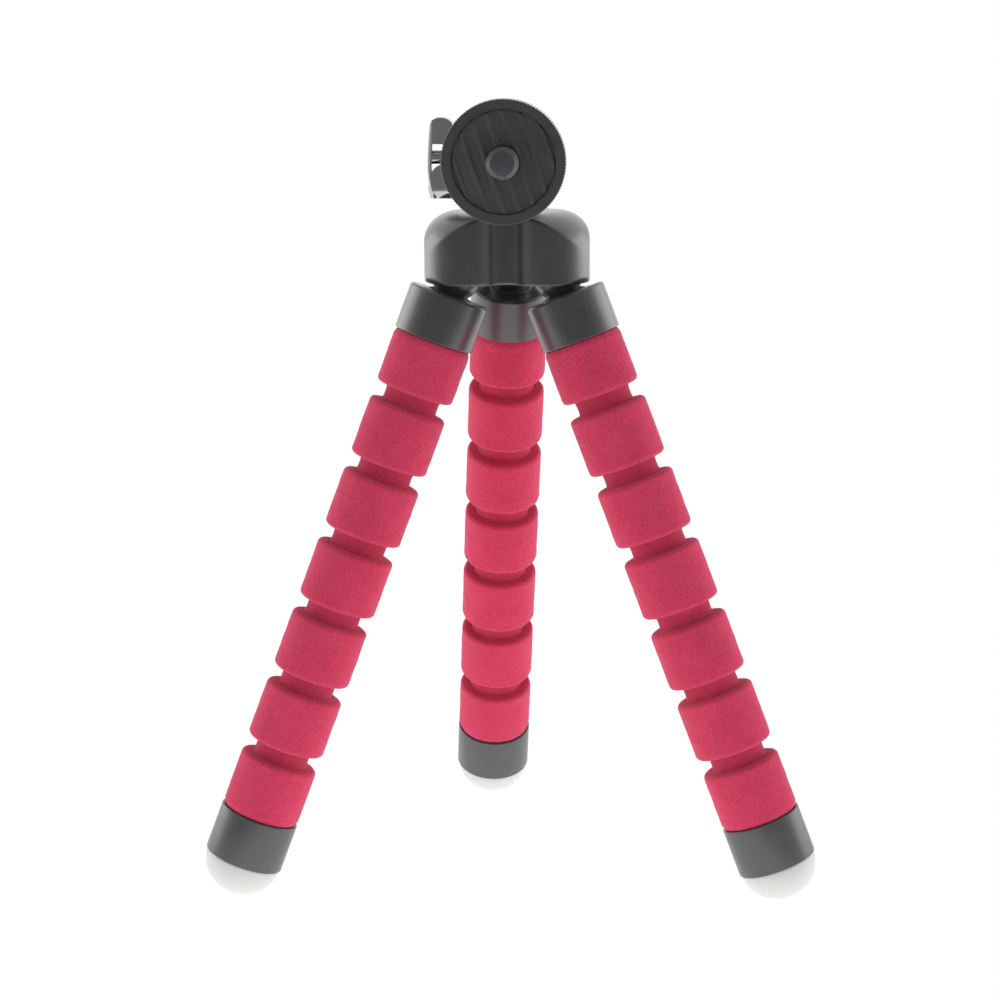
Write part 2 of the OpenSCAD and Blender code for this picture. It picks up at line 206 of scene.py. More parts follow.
def tidy_faces(piece, sharp=38):
    """Faces outwards, smooth shading, and crisp edges where the surface turns sharply."""
    work = bmesh.new()
    work.from_mesh(piece.data)
    bmesh.ops.recalc_face_normals(work, faces=work.faces)
    work.to_mesh(piece.data)
    work.free()
    piece.data.shade_smooth()
    piece.data.set_sharp_from_angle(angle=math.radians(sharp))


def turned(name, outline, axes, around=96, loop=False, sharp=38):
    """Turned piece: its outline of (radius, height) runs from axis to axis, or is a loop."""
    rows = [turned_row(radius, height, around) for radius, height in outline]
    return skin(name, rows, axes, loop, sharp)


def extruded(name, levels, axes, sharp=38):
    """Piece from like outlines at several heights, [(points, height), ...], capped at the ends."""
    rows = [np.array([(x, y, height) for x, y in points]) for points, height in levels]
    count = len(rows[0])
    faces = [list(range(count)), list(range((len(rows) - 1) * count, len(rows) * count))]
    for level in range(len(rows) - 1):
        for i in range(count):
            j = (i + 1) % count
            low, high = level * count, (level + 1) * count
            faces.append([low + i, low + j, high + j, high + i])
    return solid(name, np.concatenate(rows), faces, axes, sharp)


def applied(piece):
    """The piece with its modifiers worked into its mesh."""
    graph = bpy.context.evaluated_depsgraph_get()
    mesh = bpy.data.meshes.new_from_object(piece.evaluated_get(graph))
    piece.modifiers.clear()
    spare = piece.data
    piece.data = mesh
    bpy.data.meshes.remove(spare)
    mesh.name = piece.name
    return piece


def joined(piece, tool, operation):
    """The piece cut by the tool, or united with it; the tool is used up."""
    step = piece.modifiers.new("shape", "BOOLEAN")
    step.operation = operation
    step.solver = "EXACT"
    step.object = tool
    applied(piece)
    bpy.data.objects.remove(tool)
    return piece


def softened(piece, voxel, rounds):
    """The piece remeshed finely and smoothed, as a moulding with rounded edges."""
    step = piece.modifiers.new("grid", "REMESH")
    step.mode = "VOXEL"
    step.voxel_size = voxel * MM
    step.use_smooth_shade = True
    step = piece.modifiers.new("soft", "SMOOTH")
    step.factor = 0.5
    step.iterations = rounds
    applied(piece)
    return piece


def seat(piece, body, slot, finish, *nodes):
    """Puts a finished piece on its body in place of its CAD nodes."""
    piece.data.materials.clear()
    piece.data.materials.append(finish)
    if body:
        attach(piece, body)
    if nodes:
        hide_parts(*nodes)
    return piece


# Finishes


def plug(tree, node, **inputs):
    """Sets a node's inputs; each is a value, or a socket that is linked to it."""
    for name, value in inputs.items():
        by_number = name.startswith("_")
        socket = node.inputs[int(name[1:]) if by_number else name.replace("_", " ")]
        if isinstance(value, bpy.types.NodeSocket):
            tree.links.new(value, socket)
        else:
            socket.default_value = value
    return node


def place(tree, kind, settings=None, **inputs):
    """One new shader node with its settings and inputs."""
    node = tree.nodes.new(kind)
    for name, value in (settings or {}).items():
        setattr(node, name, value)
    return plug(tree, node, **inputs)


def reckoned(tree, operation, *values):
    """The result of a sum on numbers or sockets."""
    inputs = {f"_{n}": value for n, value in enumerate(values)}
    return place(tree, "ShaderNodeMath", {"operation": operation}, **inputs).outputs["Value"]


def between(tree, factor, low, high, start=0, end=1):
    """A number that runs from low to high while the factor runs from start to end."""
    node = place(
        tree, "ShaderNodeMapRange", None, Value=factor,
        From_Min=start, From_Max=end, To_Min=low, To_Max=high,
    )
    return node.outputs["Result"]


def tinted(tree, factor, low, high):
    """A colour that runs from low, which may be a socket, to high with the factor."""
    if not isinstance(low, bpy.types.NodeSocket):
        low = (*low, 1)
    node = place(tree, "ShaderNodeMix", {"data_type": "RGBA"}, _0=factor, _6=low, _7=(*high, 1))
    return node.outputs[2]


def bumped(tree, height, strength, depth):
    """A normal that follows the height, over a depth in millimetres."""
    node = place(
        tree, "ShaderNodeBump", None, Strength=strength, Distance=depth * MM, Height=height
    )
    return node.outputs["Normal"]


def clouds(tree, where, **inputs):
    return place(tree, "ShaderNodeTexNoise", None, Vector=where, **inputs).outputs["Fac"]


def in_millimetres(tree):
    """The surface point in the piece's own space, in millimetres."""
    where = tree.nodes.new("ShaderNodeTexCoord")
    scaled = place(
        tree, "ShaderNodeVectorMath", {"operation": "SCALE"},
        _0=where.outputs["Object"], Scale=1 / MM,
    )
    return scaled.outputs["Vector"]


def effect_group(name, inputs, outputs):
    """A new node group with its sockets, and the nodes at its start and end."""
    tree = bpy.data.node_groups.new(name, "ShaderNodeTree")
    for label, default in inputs:
        socket = tree.interface.new_socket(label, in_out="INPUT", socket_type="NodeSocketFloat")
        socket.default_value = default
    for label in outputs:
        tree.interface.new_socket(label, in_out="OUTPUT", socket_type="NodeSocketFloat")
    return tree, tree.nodes.new("NodeGroupInput"), tree.nodes.new("NodeGroupOutput")


def effect(tree, group, **inputs):
    """The results of a node group in a finish."""
    return place(tree, "ShaderNodeGroup", {"node_tree": group}, **inputs).outputs


def moulded_grain():
    """Fine grain and slow mottling of a moulded surface."""
    name = "Moulded grain"
    if name in bpy.data.node_groups:
        return bpy.data.node_groups[name]
    tree, start, end = effect_group(
        name, (("Grain per mm", 6.0), ("Mottle per mm", 0.35)), ("Height", "Mottle")
    )
    where = in_millimetres(tree)
    for scale, detail, result in (("Grain per mm", 3, "Height"), ("Mottle per mm", 4, "Mottle")):
        pattern = clouds(tree, where, Scale=start.outputs[scale], Detail=detail)
        tree.links.new(pattern, end.inputs[result])
    return tree


def handling_marks():
    """Faint rubs and hairlines from handling, as a mask."""
    name = "Handling marks"
    if name in bpy.data.node_groups:
        return bpy.data.node_groups[name]
    tree, start, end = effect_group(name, (("Marks per mm", 0.8), ("Amount", 0.5)), ("Mask",))
    where = in_millimetres(tree)
    stretched = place(
        tree, "ShaderNodeMapping", None, Vector=where, Rotation=(0.5, 0.9, 0.3),
        Scale=(0.25, 2.2, 1.0),
    )
    lines = clouds(
        tree, stretched.outputs["Vector"], Scale=start.outputs["Marks per mm"], Detail=5
    )
    patches = clouds(tree, where, Scale=0.22)
    both = reckoned(tree, "MULTIPLY", lines, patches)
    picked = between(tree, both, 0, 1, start=0.24, end=0.42)
    mask = reckoned(tree, "MULTIPLY", picked, start.outputs["Amount"])
    tree.links.new(mask, end.inputs["Mask"])
    return tree


def blank_finish(name):
    """A material with its Principled shader, or with None where it has been made already."""
    if name in bpy.data.materials:
        return bpy.data.materials[name], None
    finish = bpy.data.materials.new(name)
    finish.use_nodes = True
    return finish, finish.node_tree.nodes["Principled BSDF"]


def plastic_finish(name, colour, roughness, grain=7.0, depth=0.012, rubs=0.4, shine=1.0, coat=0):
    """Moulded plastic: fine grain, slow mottling and a few rubs."""
    finish, shader = blank_finish(name)
    if not shader:
        return finish
    tree = finish.node_tree
    surface = effect(tree, moulded_grain(), Grain_per_mm=grain, Mottle_per_mm=0.3)
    mask = effect(tree, handling_marks(), Marks_per_mm=0.9, Amount=rubs)["Mask"]
    dark = [c * 0.86 for c in colour]
    light = [c * 1.16 for c in colour]
    rubbed = [c * 1.5 + 0.004 for c in colour]
    shade = tinted(tree, surface["Mottle"], dark, light)
    wear = reckoned(tree, "ADD", surface["Mottle"], mask)
    plug(
        tree, shader,
        Base_Color=tinted(tree, mask, shade, rubbed),
        Roughness=between(tree, wear, roughness * 0.8, roughness * 1.25),
        Normal=bumped(tree, surface["Height"], strength=0.35, depth=depth),
        Specular_IOR_Level=shine,
        Coat_Weight=coat,
        Coat_Roughness=roughness * 0.7,
    )
    return finish


def metal_finish(name, colour, roughness, grain=9.0, depth=0.004, rubs=0.6):
    """Bare or plated metal with slight mottling and handling marks."""
    finish, shader = blank_finish(name)
    if not shader:
        return finish
    tree = finish.node_tree
    surface = effect(tree, moulded_grain(), Grain_per_mm=grain, Mottle_per_mm=0.5)
    mask = effect(tree, handling_marks(), Marks_per_mm=1.4, Amount=rubs)["Mask"]
    plug(
        tree, shader,
        Metallic=1,
        Base_Color=tinted(tree, surface["Mottle"], [c * 0.9 for c in colour], colour),
        Roughness=between(tree, mask, roughness, roughness * 2.2),
        Normal=bumped(tree, surface["Height"], strength=0.3, depth=depth),
    )
    return finish


def foam_finish(settings, name="Raspberry foam", shade_by=1.0):
    """Closed-cell foam: matt, with small pits in a mottled red; shade_by below 1 darkens it, for a
    copy with painted shade.
    """
    finish, shader = blank_finish(name)
    if not shader:
        return finish
    tree = finish.node_tree
    where = in_millimetres(tree)
    cells = place(tree, "ShaderNodeTexVoronoi", None, Vector=where, Scale=settings.cells)
    fine = clouds(tree, where, Scale=settings.cells, Detail=5, Roughness=0.65)
    slow = clouds(tree, where, Scale=0.16)
    pits = between(tree, cells.outputs["Distance"], 0, 0.35, start=0.05, end=0.55)
    height = reckoned(tree, "MULTIPLY_ADD", fine, 1.3, pits)
    dapple = reckoned(tree, "MULTIPLY_ADD", slow, 0.5, height)
    # shade_by below 1 paints shade into both reds.
    dark = [c * shade_by for c in settings.dark_colour]
    light = [c * shade_by for c in settings.light_colour]
    share = between(tree, dapple, 0, 1, start=0.5, end=1.6)
    plug(
        tree, shader,
        Base_Color=tinted(tree, share, dark, light),
        Roughness=between(tree, fine, 0.86, 1),
        Normal=bumped(tree, height, strength=0.75, depth=0.1),
        Specular_IOR_Level=0.25,
        Sheen_Weight=settings.sheen,
        Sheen_Roughness=0.45,
        Sheen_Tint=(1, 0.55, 0.65, 1),
    )
    return finish


def milky_finish(settings):
    """Milky soft plastic that lets a little light through."""
    finish, shader = blank_finish("Milky soft plastic")
    if not shader:
        return finish
    tree = finish.node_tree
    surface = effect(tree, moulded_grain(), Grain_per_mm=3.0, Mottle_per_mm=0.25)
    cool = [c * 0.94 for c in settings.foot_colour]
    plug(
        tree, shader,
        Base_Color=tinted(tree, surface["Mottle"], cool, settings.foot_colour),
        Roughness=between(tree, surface["Mottle"], 0.42, 0.6),
        Normal=bumped(tree, surface["Height"], strength=0.2, depth=0.02),
        Subsurface_Weight=0.4,
        Subsurface_Radius=(1, 0.95, 0.9),
        Subsurface_Scale=3 * MM,
    )
    return finish


# Settings that a user would change


class TripodFoamSettings(bpy.types.PropertyGroup):
    light_colour: FloatVectorProperty(
        name="Light red", description="Foam between the pits", subtype="COLOR",
        default=(0.7, 0.056, 0.132), min=0, max=1,
    )
    dark_colour: FloatVectorProperty(
        name="Dark red", description="Foam in the pits", subtype="COLOR",
        default=(0.42, 0.024, 0.066), min=0, max=1,
    )
    cells: FloatProperty(
        name="Cells", description="Foam cells to the millimetre", default=1.9, min=0.5, max=8
    )
    sheen: FloatProperty(
        name="Sheen", description="Soft light along the foam's edges", default=0.18, min=0, max=1,
        subtype="FACTOR",
    )
    rim: FloatProperty(
        name="Rim rounding", description="Rounding of a segment's rims, mm", default=0.9,
        min=0.2, max=1.4,
    )
    # Painted shade: this factor darkens the foam in the grooves' necks and on the segments' end
    # faces, where shade falls.
    groove_shade: FloatProperty(
        name="Groove shade", description="Darkness of the cut foam in the grooves",
        default=0.86, min=0.3, max=1, subtype="FACTOR",
    )
    lumps: FloatProperty(
        name="Lumps", description="Height of the foam's unevenness, mm", default=0.07,
        min=0, max=0.3,
    )


class TripodPlasticSettings(bpy.types.PropertyGroup):
    black_colour: FloatVectorProperty(
        name="Black", description="Hub, collars and platform", subtype="COLOR",
        default=(0.03, 0.03, 0.033), min=0, max=1,
    )
    grey_colour: FloatVectorProperty(
        name="Grey", description="Collars at the feet", subtype="COLOR",
        default=(0.058, 0.058, 0.062), min=0, max=1,
    )
    foot_colour: FloatVectorProperty(
        name="Milk", description="Round feet", subtype="COLOR",
        default=(0.65, 0.65, 0.635), min=0, max=1,
    )
    gloss: FloatProperty(
        name="Roughness", description="Roughness of the black plastic", default=0.38,
        min=0.05, max=1, subtype="FACTOR",
    )
    coat: FloatProperty(
        name="Coat", description="Glossy skin of the black plastic", default=1.0, min=0, max=1,
        subtype="FACTOR",
    )
    crease: FloatProperty(
        name="Hub edge", description="Softness of the hub's top edge, mm", default=0.4,
        min=0.1, max=1,
    )


class TripodHeadSettings(bpy.types.PropertyGroup):
    teeth: IntProperty(
        name="Knurl teeth", description="Teeth round the platform's rim", default=132,
        min=40, max=240,
    )
    tooth_depth: FloatProperty(
        name="Tooth depth", description="Depth of the knurl, mm", default=0.17, min=0.05, max=0.5
    )
    ribs: IntProperty(name="Pad ribs", description="Ribs across the pad", default=7, min=4, max=12)
    rib_slant: FloatProperty(
        name="Rib slant", description="Lean of the ribs from upright", subtype="ANGLE",
        default=math.radians(19),
    )
    thread_pitch: FloatProperty(
        name="Thread pitch", description="Pitch of the camera screw's thread, mm", default=1.27,
        min=0.5, max=2,
    )
    chrome_colour: FloatVectorProperty(
        name="Chrome", description="Lock knob", subtype="COLOR", default=(0.6, 0.6, 0.62),
        min=0, max=1,
    )


class TripodStageSettings(bpy.types.PropertyGroup):
    front_gloss: FloatProperty(
        name="Front reflection", description="Brightness that glossy pieces see in front",
        default=0.2, min=0, max=1, subtype="FACTOR",
    )
    front_light: FloatProperty(
        name="Front light", description="Level of the soft light from the front", default=0.66,
        min=0, max=2,
    )
    side_light: FloatProperty(
        name="Side light", description="Level of the soft light from the sides and behind",
        default=1.5, min=0, max=3,
    )
    top_light: FloatProperty(
        name="Top light", description="Share of that light that comes from straight above",
        default=0.35, min=0, max=1, subtype="FACTOR",
    )
    floor_light: FloatProperty(
        name="Floor light", description="Level of the light that the pale floor throws up",
        default=1.85, min=0, max=3,
    )
    lens: FloatProperty(
        name="Lens", description="Focal length of the camera, mm", default=94, min=20, max=300
    )


# Pieces

# Fillet of an edge that looks crisp
CRISP_EDGE = 0.1


def black_plastic():
    """Finish that the hub, the leg collars, the housing and the platform share."""
    settings = bpy.context.scene.tripod_plastic
    return plastic_finish(
        "Black moulded plastic", settings.black_colour, settings.gloss, coat=settings.coat
    )


# Unevenness of the foam: waves to the millimetre, and the small ones' share of the height
WIDE_LUMPS = 0.45
SMALL_DENTS = 1.6
DENT_SHARE = 0.55


def roughened(piece, axes, height, from_radius):
    """Moves the outer skin in and out a little, as foam is never quite even."""
    back = axes.inverted()
    for corner in piece.data.vertices:
        local = back @ corner.co
        radius = math.hypot(local.x, local.y)
        if radius < from_radius * MM:
            continue
        point = corner.co / MM
        wave = noise.noise(point * WIDE_LUMPS) + DENT_SHARE * noise.noise(point * SMALL_DENTS)
        push = height * MM * wave / radius
        local.x *= 1 + push
        local.y *= 1 + push
        corner.co = axes @ local


# A face that looks this much along the leg takes the foam with painted shade
SHADED_FACE = 0.85
FOAM_BORE = 1.75
NECK_SEAT_R = 5.9
NECK_SEAT_DEPTH = 0.8
NECK_SEAT_LIP = 0.1
NECK_SEAT_ROUND = 0.2
NECK_FIT = 0.1
COLLAR_SPIGOT = 6.0
FOOT_SPIGOT = 3.6
SPIGOT_ROUND = 0.3
CUFF_H = 1.2
CUFF_BEND = 0.8
CUFF_PINCH = 0.4
CUFF_ROUND = 0.6
SLEEVE_STEP = 0.45
SKIN_MARGIN = 0.2
GROOVE_R = 5.6
GROOVE_HALF = 1.7
GROOVE_FLARE = 0.34
FLARE_CURVE = 4
GROOVE_BORE = 2.4
GROOVE_STEPS = 26
GROOVE_STEP = 0.6
GROOVE_LUMPS = 0.6


def sleeve_end(edge, inwards, radius, rim, spigot):
    """Corners from the bore to the outside at one end; inwards is +1 at the top, -1 below."""
    if spigot:
        return [
            (FOAM_BORE, edge - inwards * spigot, 0),
            (NECK_SEAT_R, edge - inwards * spigot, SPIGOT_ROUND),
            (NECK_SEAT_R, edge, 0),
            (radius - CUFF_PINCH, edge, CUFF_ROUND),
            (radius, edge + inwards * CUFF_H, CUFF_BEND),
        ]
    return [
        (FOAM_BORE, edge + inwards * NECK_SEAT_DEPTH, 0),
        (NECK_SEAT_R, edge + inwards * NECK_SEAT_DEPTH, 0),
        (NECK_SEAT_R, edge - inwards * NECK_SEAT_LIP, NECK_SEAT_ROUND),
        (radius, edge, rim),
    ]


def sleeve_outline(k, top, end, radius, rim):
    """Closed outline of foam segment k, with seats for the grooves' necks and for the collars."""
    upper = sleeve_end(top, 1, radius, rim, COLLAR_SPIGOT if k == 1 else 0)
    lower = sleeve_end(end, -1, radius, rim, FOOT_SPIGOT if k == SEGMENTS else 0)
    outline = rounded(upper + lower[::-1], closed=True, steps=6)
    return refined(outline, SLEEVE_STEP, closed=True)


class TripodFoam(bpy.types.Operator):
    """Foam segments of the three legs, and the soft necks in their grooves"""

    bl_idname = "tripod.foam"
    bl_label = "Foam legs"

    def execute(self, context):
        settings = context.scene.tripod_foam
        finish = foam_finish(settings)
        # Darker copy of the foam: painted shade for the grooves' necks and the segments' end
        # faces.
        shaded_foam_finish = foam_finish(settings, "Raspberry foam, painted shade", settings.groove_shade)
        for leg in LEGS:
            axes = leg_axes(leg)
            down = axes.to_3x3() @ Vector((0, 0, 1))
            radius, foam_top, _ = extent(leg + "_foam_1", axes)
            _, _, foam_end = extent(f"{leg}_foam_{SEGMENTS}", axes)
            hinges = [
                (axes.inverted() @ joint_point(f"{leg}_bend_{k}")).z / MM
                for k in range(1, SEGMENTS)
            ]
            tops = [foam_top + COLLAR_SPIGOT] + [h + GROOVE_HALF for h in hinges]
            ends = [h - GROOVE_HALF for h in hinges] + [foam_end - FOOT_SPIGOT]
            for k in range(1, SEGMENTS + 1):
                outline = sleeve_outline(k, tops[k - 1], ends[k - 1], radius, settings.rim)
                sleeve = turned(f"{leg}_sleeve_{k}", outline, axes, 112, loop=True, sharp=60)
                roughened(sleeve, axes, settings.lumps, NECK_SEAT_R + SKIN_MARGIN)
                seat(sleeve, f"{leg}_link_{k}", "foam", finish, f"{leg}_foam_{k}")
                # End faces that look along the leg take the foam with painted shade.
                sleeve.data.materials.append(shaded_foam_finish)
                for face in sleeve.data.polygons:
                    face.material_index = int(abs(face.normal.dot(down)) > SHADED_FACE)
            for k, hinge in enumerate(hinges, 1):
                self.groove(leg, k, hinge, axes, shaded_foam_finish, settings)
        return {"FINISHED"}

    def groove(self, leg, k, hinge, axes, finish, settings):
        """Soft neck at the bottom of groove k, between the segments on both sides."""
        reach = GROOVE_HALF + NECK_SEAT_DEPTH - NECK_FIT
        outline = []
        for step in range(GROOVE_STEPS + 1):
            along = -reach + 2 * reach * step / GROOVE_STEPS
            flare = GROOVE_FLARE * min(1, abs(along) / GROOVE_HALF) ** FLARE_CURVE
            outline.append((GROOVE_R + flare, hinge + along))
        outline += [(GROOVE_BORE, hinge + along) for along in (reach, 0, -reach)]
        outline = refined(outline, GROOVE_STEP, closed=True)
        neck = turned(f"{leg}_groove_{k}", outline, axes, 96, loop=True)
        roughened(neck, axes, settings.lumps * GROOVE_LUMPS, GROOVE_R - SKIN_MARGIN)
        # The neck takes the foam with painted shade that it is given.
        seat(neck, None, "foam", finish)
        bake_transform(neck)


# Places that end in S are measured down the leg from its ball
LEG_BALL_R = 5.0
NECK_WAIST_S = 3.49
NECK_BASE_S = 3.97
NECK_BASE_R = 4.6
NECK_FILLET = 0.02
COLLAR_TOP_S = 4.1
COLLAR_BEVEL = 0.4
BEVEL_TOP_ROUND = 0.15
BEVEL_LOW_ROUND = 0.2
COLLAR_EDGE = 0.22
SPIGOT_HOLE_R = 6.1
SPIGOT_FIT = 0.1


class TripodCollars(bpy.types.Operator):
    """Black collars at the tops of the legs, with the balls that sit in the hub"""

    bl_idname = "tripod.collars"
    bl_label = "Leg collars"

    def execute(self, context):
        waist = math.degrees(math.acos(-NECK_WAIST_S / LEG_BALL_R))
        for leg in LEGS:
            axes = leg_axes(leg)
            node = leg + "_collar"
            radius, _, low = extent(node, axes)
            hole_top = low - COLLAR_SPIGOT - SPIGOT_FIT
            outline = arc(LEG_BALL_R, 0, waist, 30)
            outline += rounded([
                (*outline[-1], 0),
                (NECK_BASE_R, NECK_BASE_S, CRISP_EDGE),
                (NECK_BASE_R, COLLAR_TOP_S, NECK_FILLET),
                (radius - COLLAR_BEVEL, COLLAR_TOP_S, BEVEL_TOP_ROUND),
                (radius, COLLAR_TOP_S + COLLAR_BEVEL, BEVEL_LOW_ROUND),
                (radius, low, COLLAR_EDGE),
                (SPIGOT_HOLE_R, low, CRISP_EDGE),
                (SPIGOT_HOLE_R, hole_top, 0),
                (0, hole_top, 0),
            ])[1:]
            outline[0] = (0, -LEG_BALL_R)
            collar = turned(leg + "_top_collar", outline, axes, 128)
            seat(collar, leg + "_link_1", "black_plastic", black_plastic(), node)
        return {"FINISHED"}


FOOT_PLUG_R = 5.6
FOOT_PLUG_H = 3.8
FOOT_PLUG_EDGE = 0.3
FOOT_COLLAR_EDGE = 0.25
FOOT_HOLE_R = 5.7
FOOT_R = 7.85
FOOT_FLAT = 0.06
# The foot's upper edge as steps (inwards, down), and the angle where its curve begins
FOOT_EDGE = ((0.25, 0), (0.05, 0.1))
FOOT_CURVE_START = 0.05


class TripodFeet(bpy.types.Operator):
    """Grey collars at the feet and the milky round feet"""

    bl_idname = "tripod.feet"
    bl_label = "Feet"

    def execute(self, context):
        settings = context.scene.tripod_plastic
        grey = plastic_finish("Grey moulded plastic", settings.grey_colour, 0.3, rubs=0.3)
        milk = milky_finish(settings)
        for leg in LEGS:
            axes = leg_axes(leg)
            body = f"{leg}_link_{SEGMENTS}"
            radius, top, low = extent(leg + "_foot_collar", axes)
            spigot_end = top + FOOT_SPIGOT + SPIGOT_FIT
            plug_end = low - FOOT_PLUG_H - SPIGOT_FIT
            outline = rounded([
                (0, spigot_end, 0),
                (SPIGOT_HOLE_R, spigot_end, 0),
                (SPIGOT_HOLE_R, top, CRISP_EDGE),
                (radius, top, FOOT_COLLAR_EDGE),
                (radius, low, COLLAR_EDGE),
                (FOOT_HOLE_R, low, CRISP_EDGE),
                (FOOT_HOLE_R, plug_end, 0),
                (0, plug_end, 0),
            ])
            collar = turned(leg + "_low_collar", outline, axes, 128)
            seat(collar, body, "grey_plastic", grey, leg + "_foot_collar")
            _, _, end = extent(leg + "_foot_tip", axes)
            deep = end - low - FOOT_FLAT
            outline = rounded([
                (0, low - FOOT_PLUG_H, 0),
                (FOOT_PLUG_R, low - FOOT_PLUG_H, FOOT_PLUG_EDGE),
                (FOOT_PLUG_R, low, 0),
            ])
            outline += [(FOOT_R - inwards, low + down) for inwards, down in FOOT_EDGE]
            outline += [
                (FOOT_R * math.cos(angle), low + deep * math.sin(angle))
                for angle in np.linspace(FOOT_CURVE_START, math.pi / 2, 36)
            ]
            outline[-1] = (0, low + deep)
            foot = turned(leg + "_round_foot", outline, axes, 96)
            seat(foot, body, "milky_foot", milk, leg + "_foot_tip")
        return {"FINISHED"}


LOBE_R = 8.0
LOBE_REACH = 10.0
VALLEY_R = 4.0
HUB_ROUND = 8.0
HUB_BEVEL = 1.0
HUB_ANGLES = 360
HUB_PROFILE = 130
DOME_STEPS = 24
PROFILE_STEP = 0.1
SOCKET_FIT = 0.1
SEAT_R = 5.7
SEAT_DEPTH = 6.0
SEAT_RIM = 0.5
SEAT_FLARE = 0.15
INSIDE_BEVEL = 0.2
SCREW_BORE_R = 2.1
SCREW_HEAD_R = 3.6
SCREW_HEAD_SINK = 2.6
SCREW_HEAD_RIM = 0.6


def trefoil_radius(angle):
    """Distance from the hub's axis to its wall, at an angle from the front."""
    valley = LOBE_REACH * 0.5 + math.sqrt(
        (LOBE_R + VALLEY_R) ** 2 - (LOBE_REACH * math.sin(math.radians(60))) ** 2
    )
    from_lobe = abs((angle % (2 * math.pi / 3)) - math.pi / 3)
    from_valley = math.pi / 3 - from_lobe
    lobe = Vector((LOBE_REACH, 0))
    hollow = Vector((math.cos(math.pi / 3), math.sin(math.pi / 3))) * valley
    touch = lobe + (hollow - lobe) * (LOBE_R / (LOBE_R + VALLEY_R))
    if from_lobe <= math.atan2(touch.y, touch.x):
        across = LOBE_REACH * math.sin(from_lobe)
        return LOBE_REACH * math.cos(from_lobe) + math.sqrt(LOBE_R**2 - across**2)
    across = valley * math.sin(from_valley)
    return valley * math.cos(from_valley) - math.sqrt(VALLEY_R**2 - across**2)


def evened(points, step, softness, count):
    """The line with its corners softened, as count points at even distances."""
    line = np.array(refined(points, step))
    gaps = np.linalg.norm(np.diff(line, axis=0), axis=1)
    run = np.concatenate([[0], np.cumsum(gaps)])
    places = np.linspace(0, run[-1], int(run[-1] / step) + 1)
    dense = np.stack([np.interp(places, run, line[:, i]) for i in (0, 1)], axis=1)
    half = int(3 * softness / step)
    weights = np.exp(-0.5 * (np.arange(-half, half + 1) * step / softness) ** 2)
    weights /= weights.sum()
    padded = np.concatenate([
        2 * dense[:1] - dense[half:0:-1], dense, 2 * dense[-1:] - dense[-2:-half - 2:-1]
    ])
    soft = np.stack([np.convolve(padded[:, i], weights, "valid") for i in (0, 1)], axis=1)
    gaps = np.linalg.norm(np.diff(soft, axis=0), axis=1)
    run = np.concatenate([[0], np.cumsum(gaps)])
    places = np.linspace(0, run[-1], count)
    return np.stack([np.interp(places, run, soft[:, i]) for i in (0, 1)], axis=1)


def hub_profile(radius, height, softness):
    """Upright cut through the hub's outside: underside, wall and domed top."""
    outer = LOBE_REACH + LOBE_R
    shoulder = outer - HUB_ROUND
    low = min(radius, outer - HUB_BEVEL)
    points = [(SCREW_HEAD_R + SCREW_HEAD_RIM, 0), (low, 0)]
    if radius > low:
        points.append((radius, radius - low))
    top = height - HUB_ROUND
    edge = max(radius, shoulder)
    start = math.acos(min(1, (edge - shoulder) / HUB_ROUND))
    for step in range(DOME_STEPS + 1):
        angle = start + (math.pi / 2 - start) * step / DOME_STEPS
        points.append((
            min(radius, shoulder + HUB_ROUND * math.cos(angle)), top + HUB_ROUND * math.sin(angle)
        ))
    points = [p for n, p in enumerate(points) if n == 0 or p != points[n - 1]]
    points.append((SEAT_R + SEAT_RIM, height))
    return evened(points, PROFILE_STEP, softness, HUB_PROFILE)


class TripodHub(bpy.types.Operator):
    """Trefoil hub with its domed top, the sockets of the legs and the seat of the ball head"""

    bl_idname = "tripod.hub"
    bl_label = "Hub"

    def execute(self, context):
        settings = context.scene.tripod_plastic
        height = (HUB_HIGH.z - HUB_LOW.z) / MM
        angles = [2 * math.pi * n / HUB_ANGLES for n in range(HUB_ANGLES)]
        grid = np.zeros((HUB_PROFILE, HUB_ANGLES, 3))
        for n, angle in enumerate(angles):
            profile = hub_profile(trefoil_radius(angle), height, settings.crease)
            grid[:, n, 0] = profile[:, 0] * math.sin(angle)
            grid[:, n, 1] = -profile[:, 0] * math.cos(angle)
            grid[:, n, 2] = profile[:, 1]
        inside = [
            (SEAT_R + SEAT_FLARE, height),
            (SEAT_R, height - INSIDE_BEVEL),
            (SEAT_R, height - SEAT_DEPTH),
            (SCREW_BORE_R, height - SEAT_DEPTH),
            (SCREW_BORE_R, SCREW_HEAD_SINK),
            (SCREW_HEAD_R, SCREW_HEAD_SINK),
            (SCREW_HEAD_R, INSIDE_BEVEL),
            (SCREW_HEAD_R + INSIDE_BEVEL, 0),
        ]
        rows = list(grid)
        for radius, level in inside:
            ring = [(radius * math.sin(a), -radius * math.cos(a), level) for a in angles]
            rows.append(np.array(ring))
        hub = skin("trefoil_hub", rows, HUB_AXES, loop=True)
        for leg in LEGS:
            axes = leg_axes(leg)
            socket = turned("socket_tool", arc(LEG_BALL_R + SOCKET_FIT, 0, 180, 40), axes, 72)
            joined(hub, socket, "DIFFERENCE")
        tidy_faces(hub, 32)
        seat(hub, "base", "black_plastic", black_plastic(), "hub")
        return {"FINISHED"}


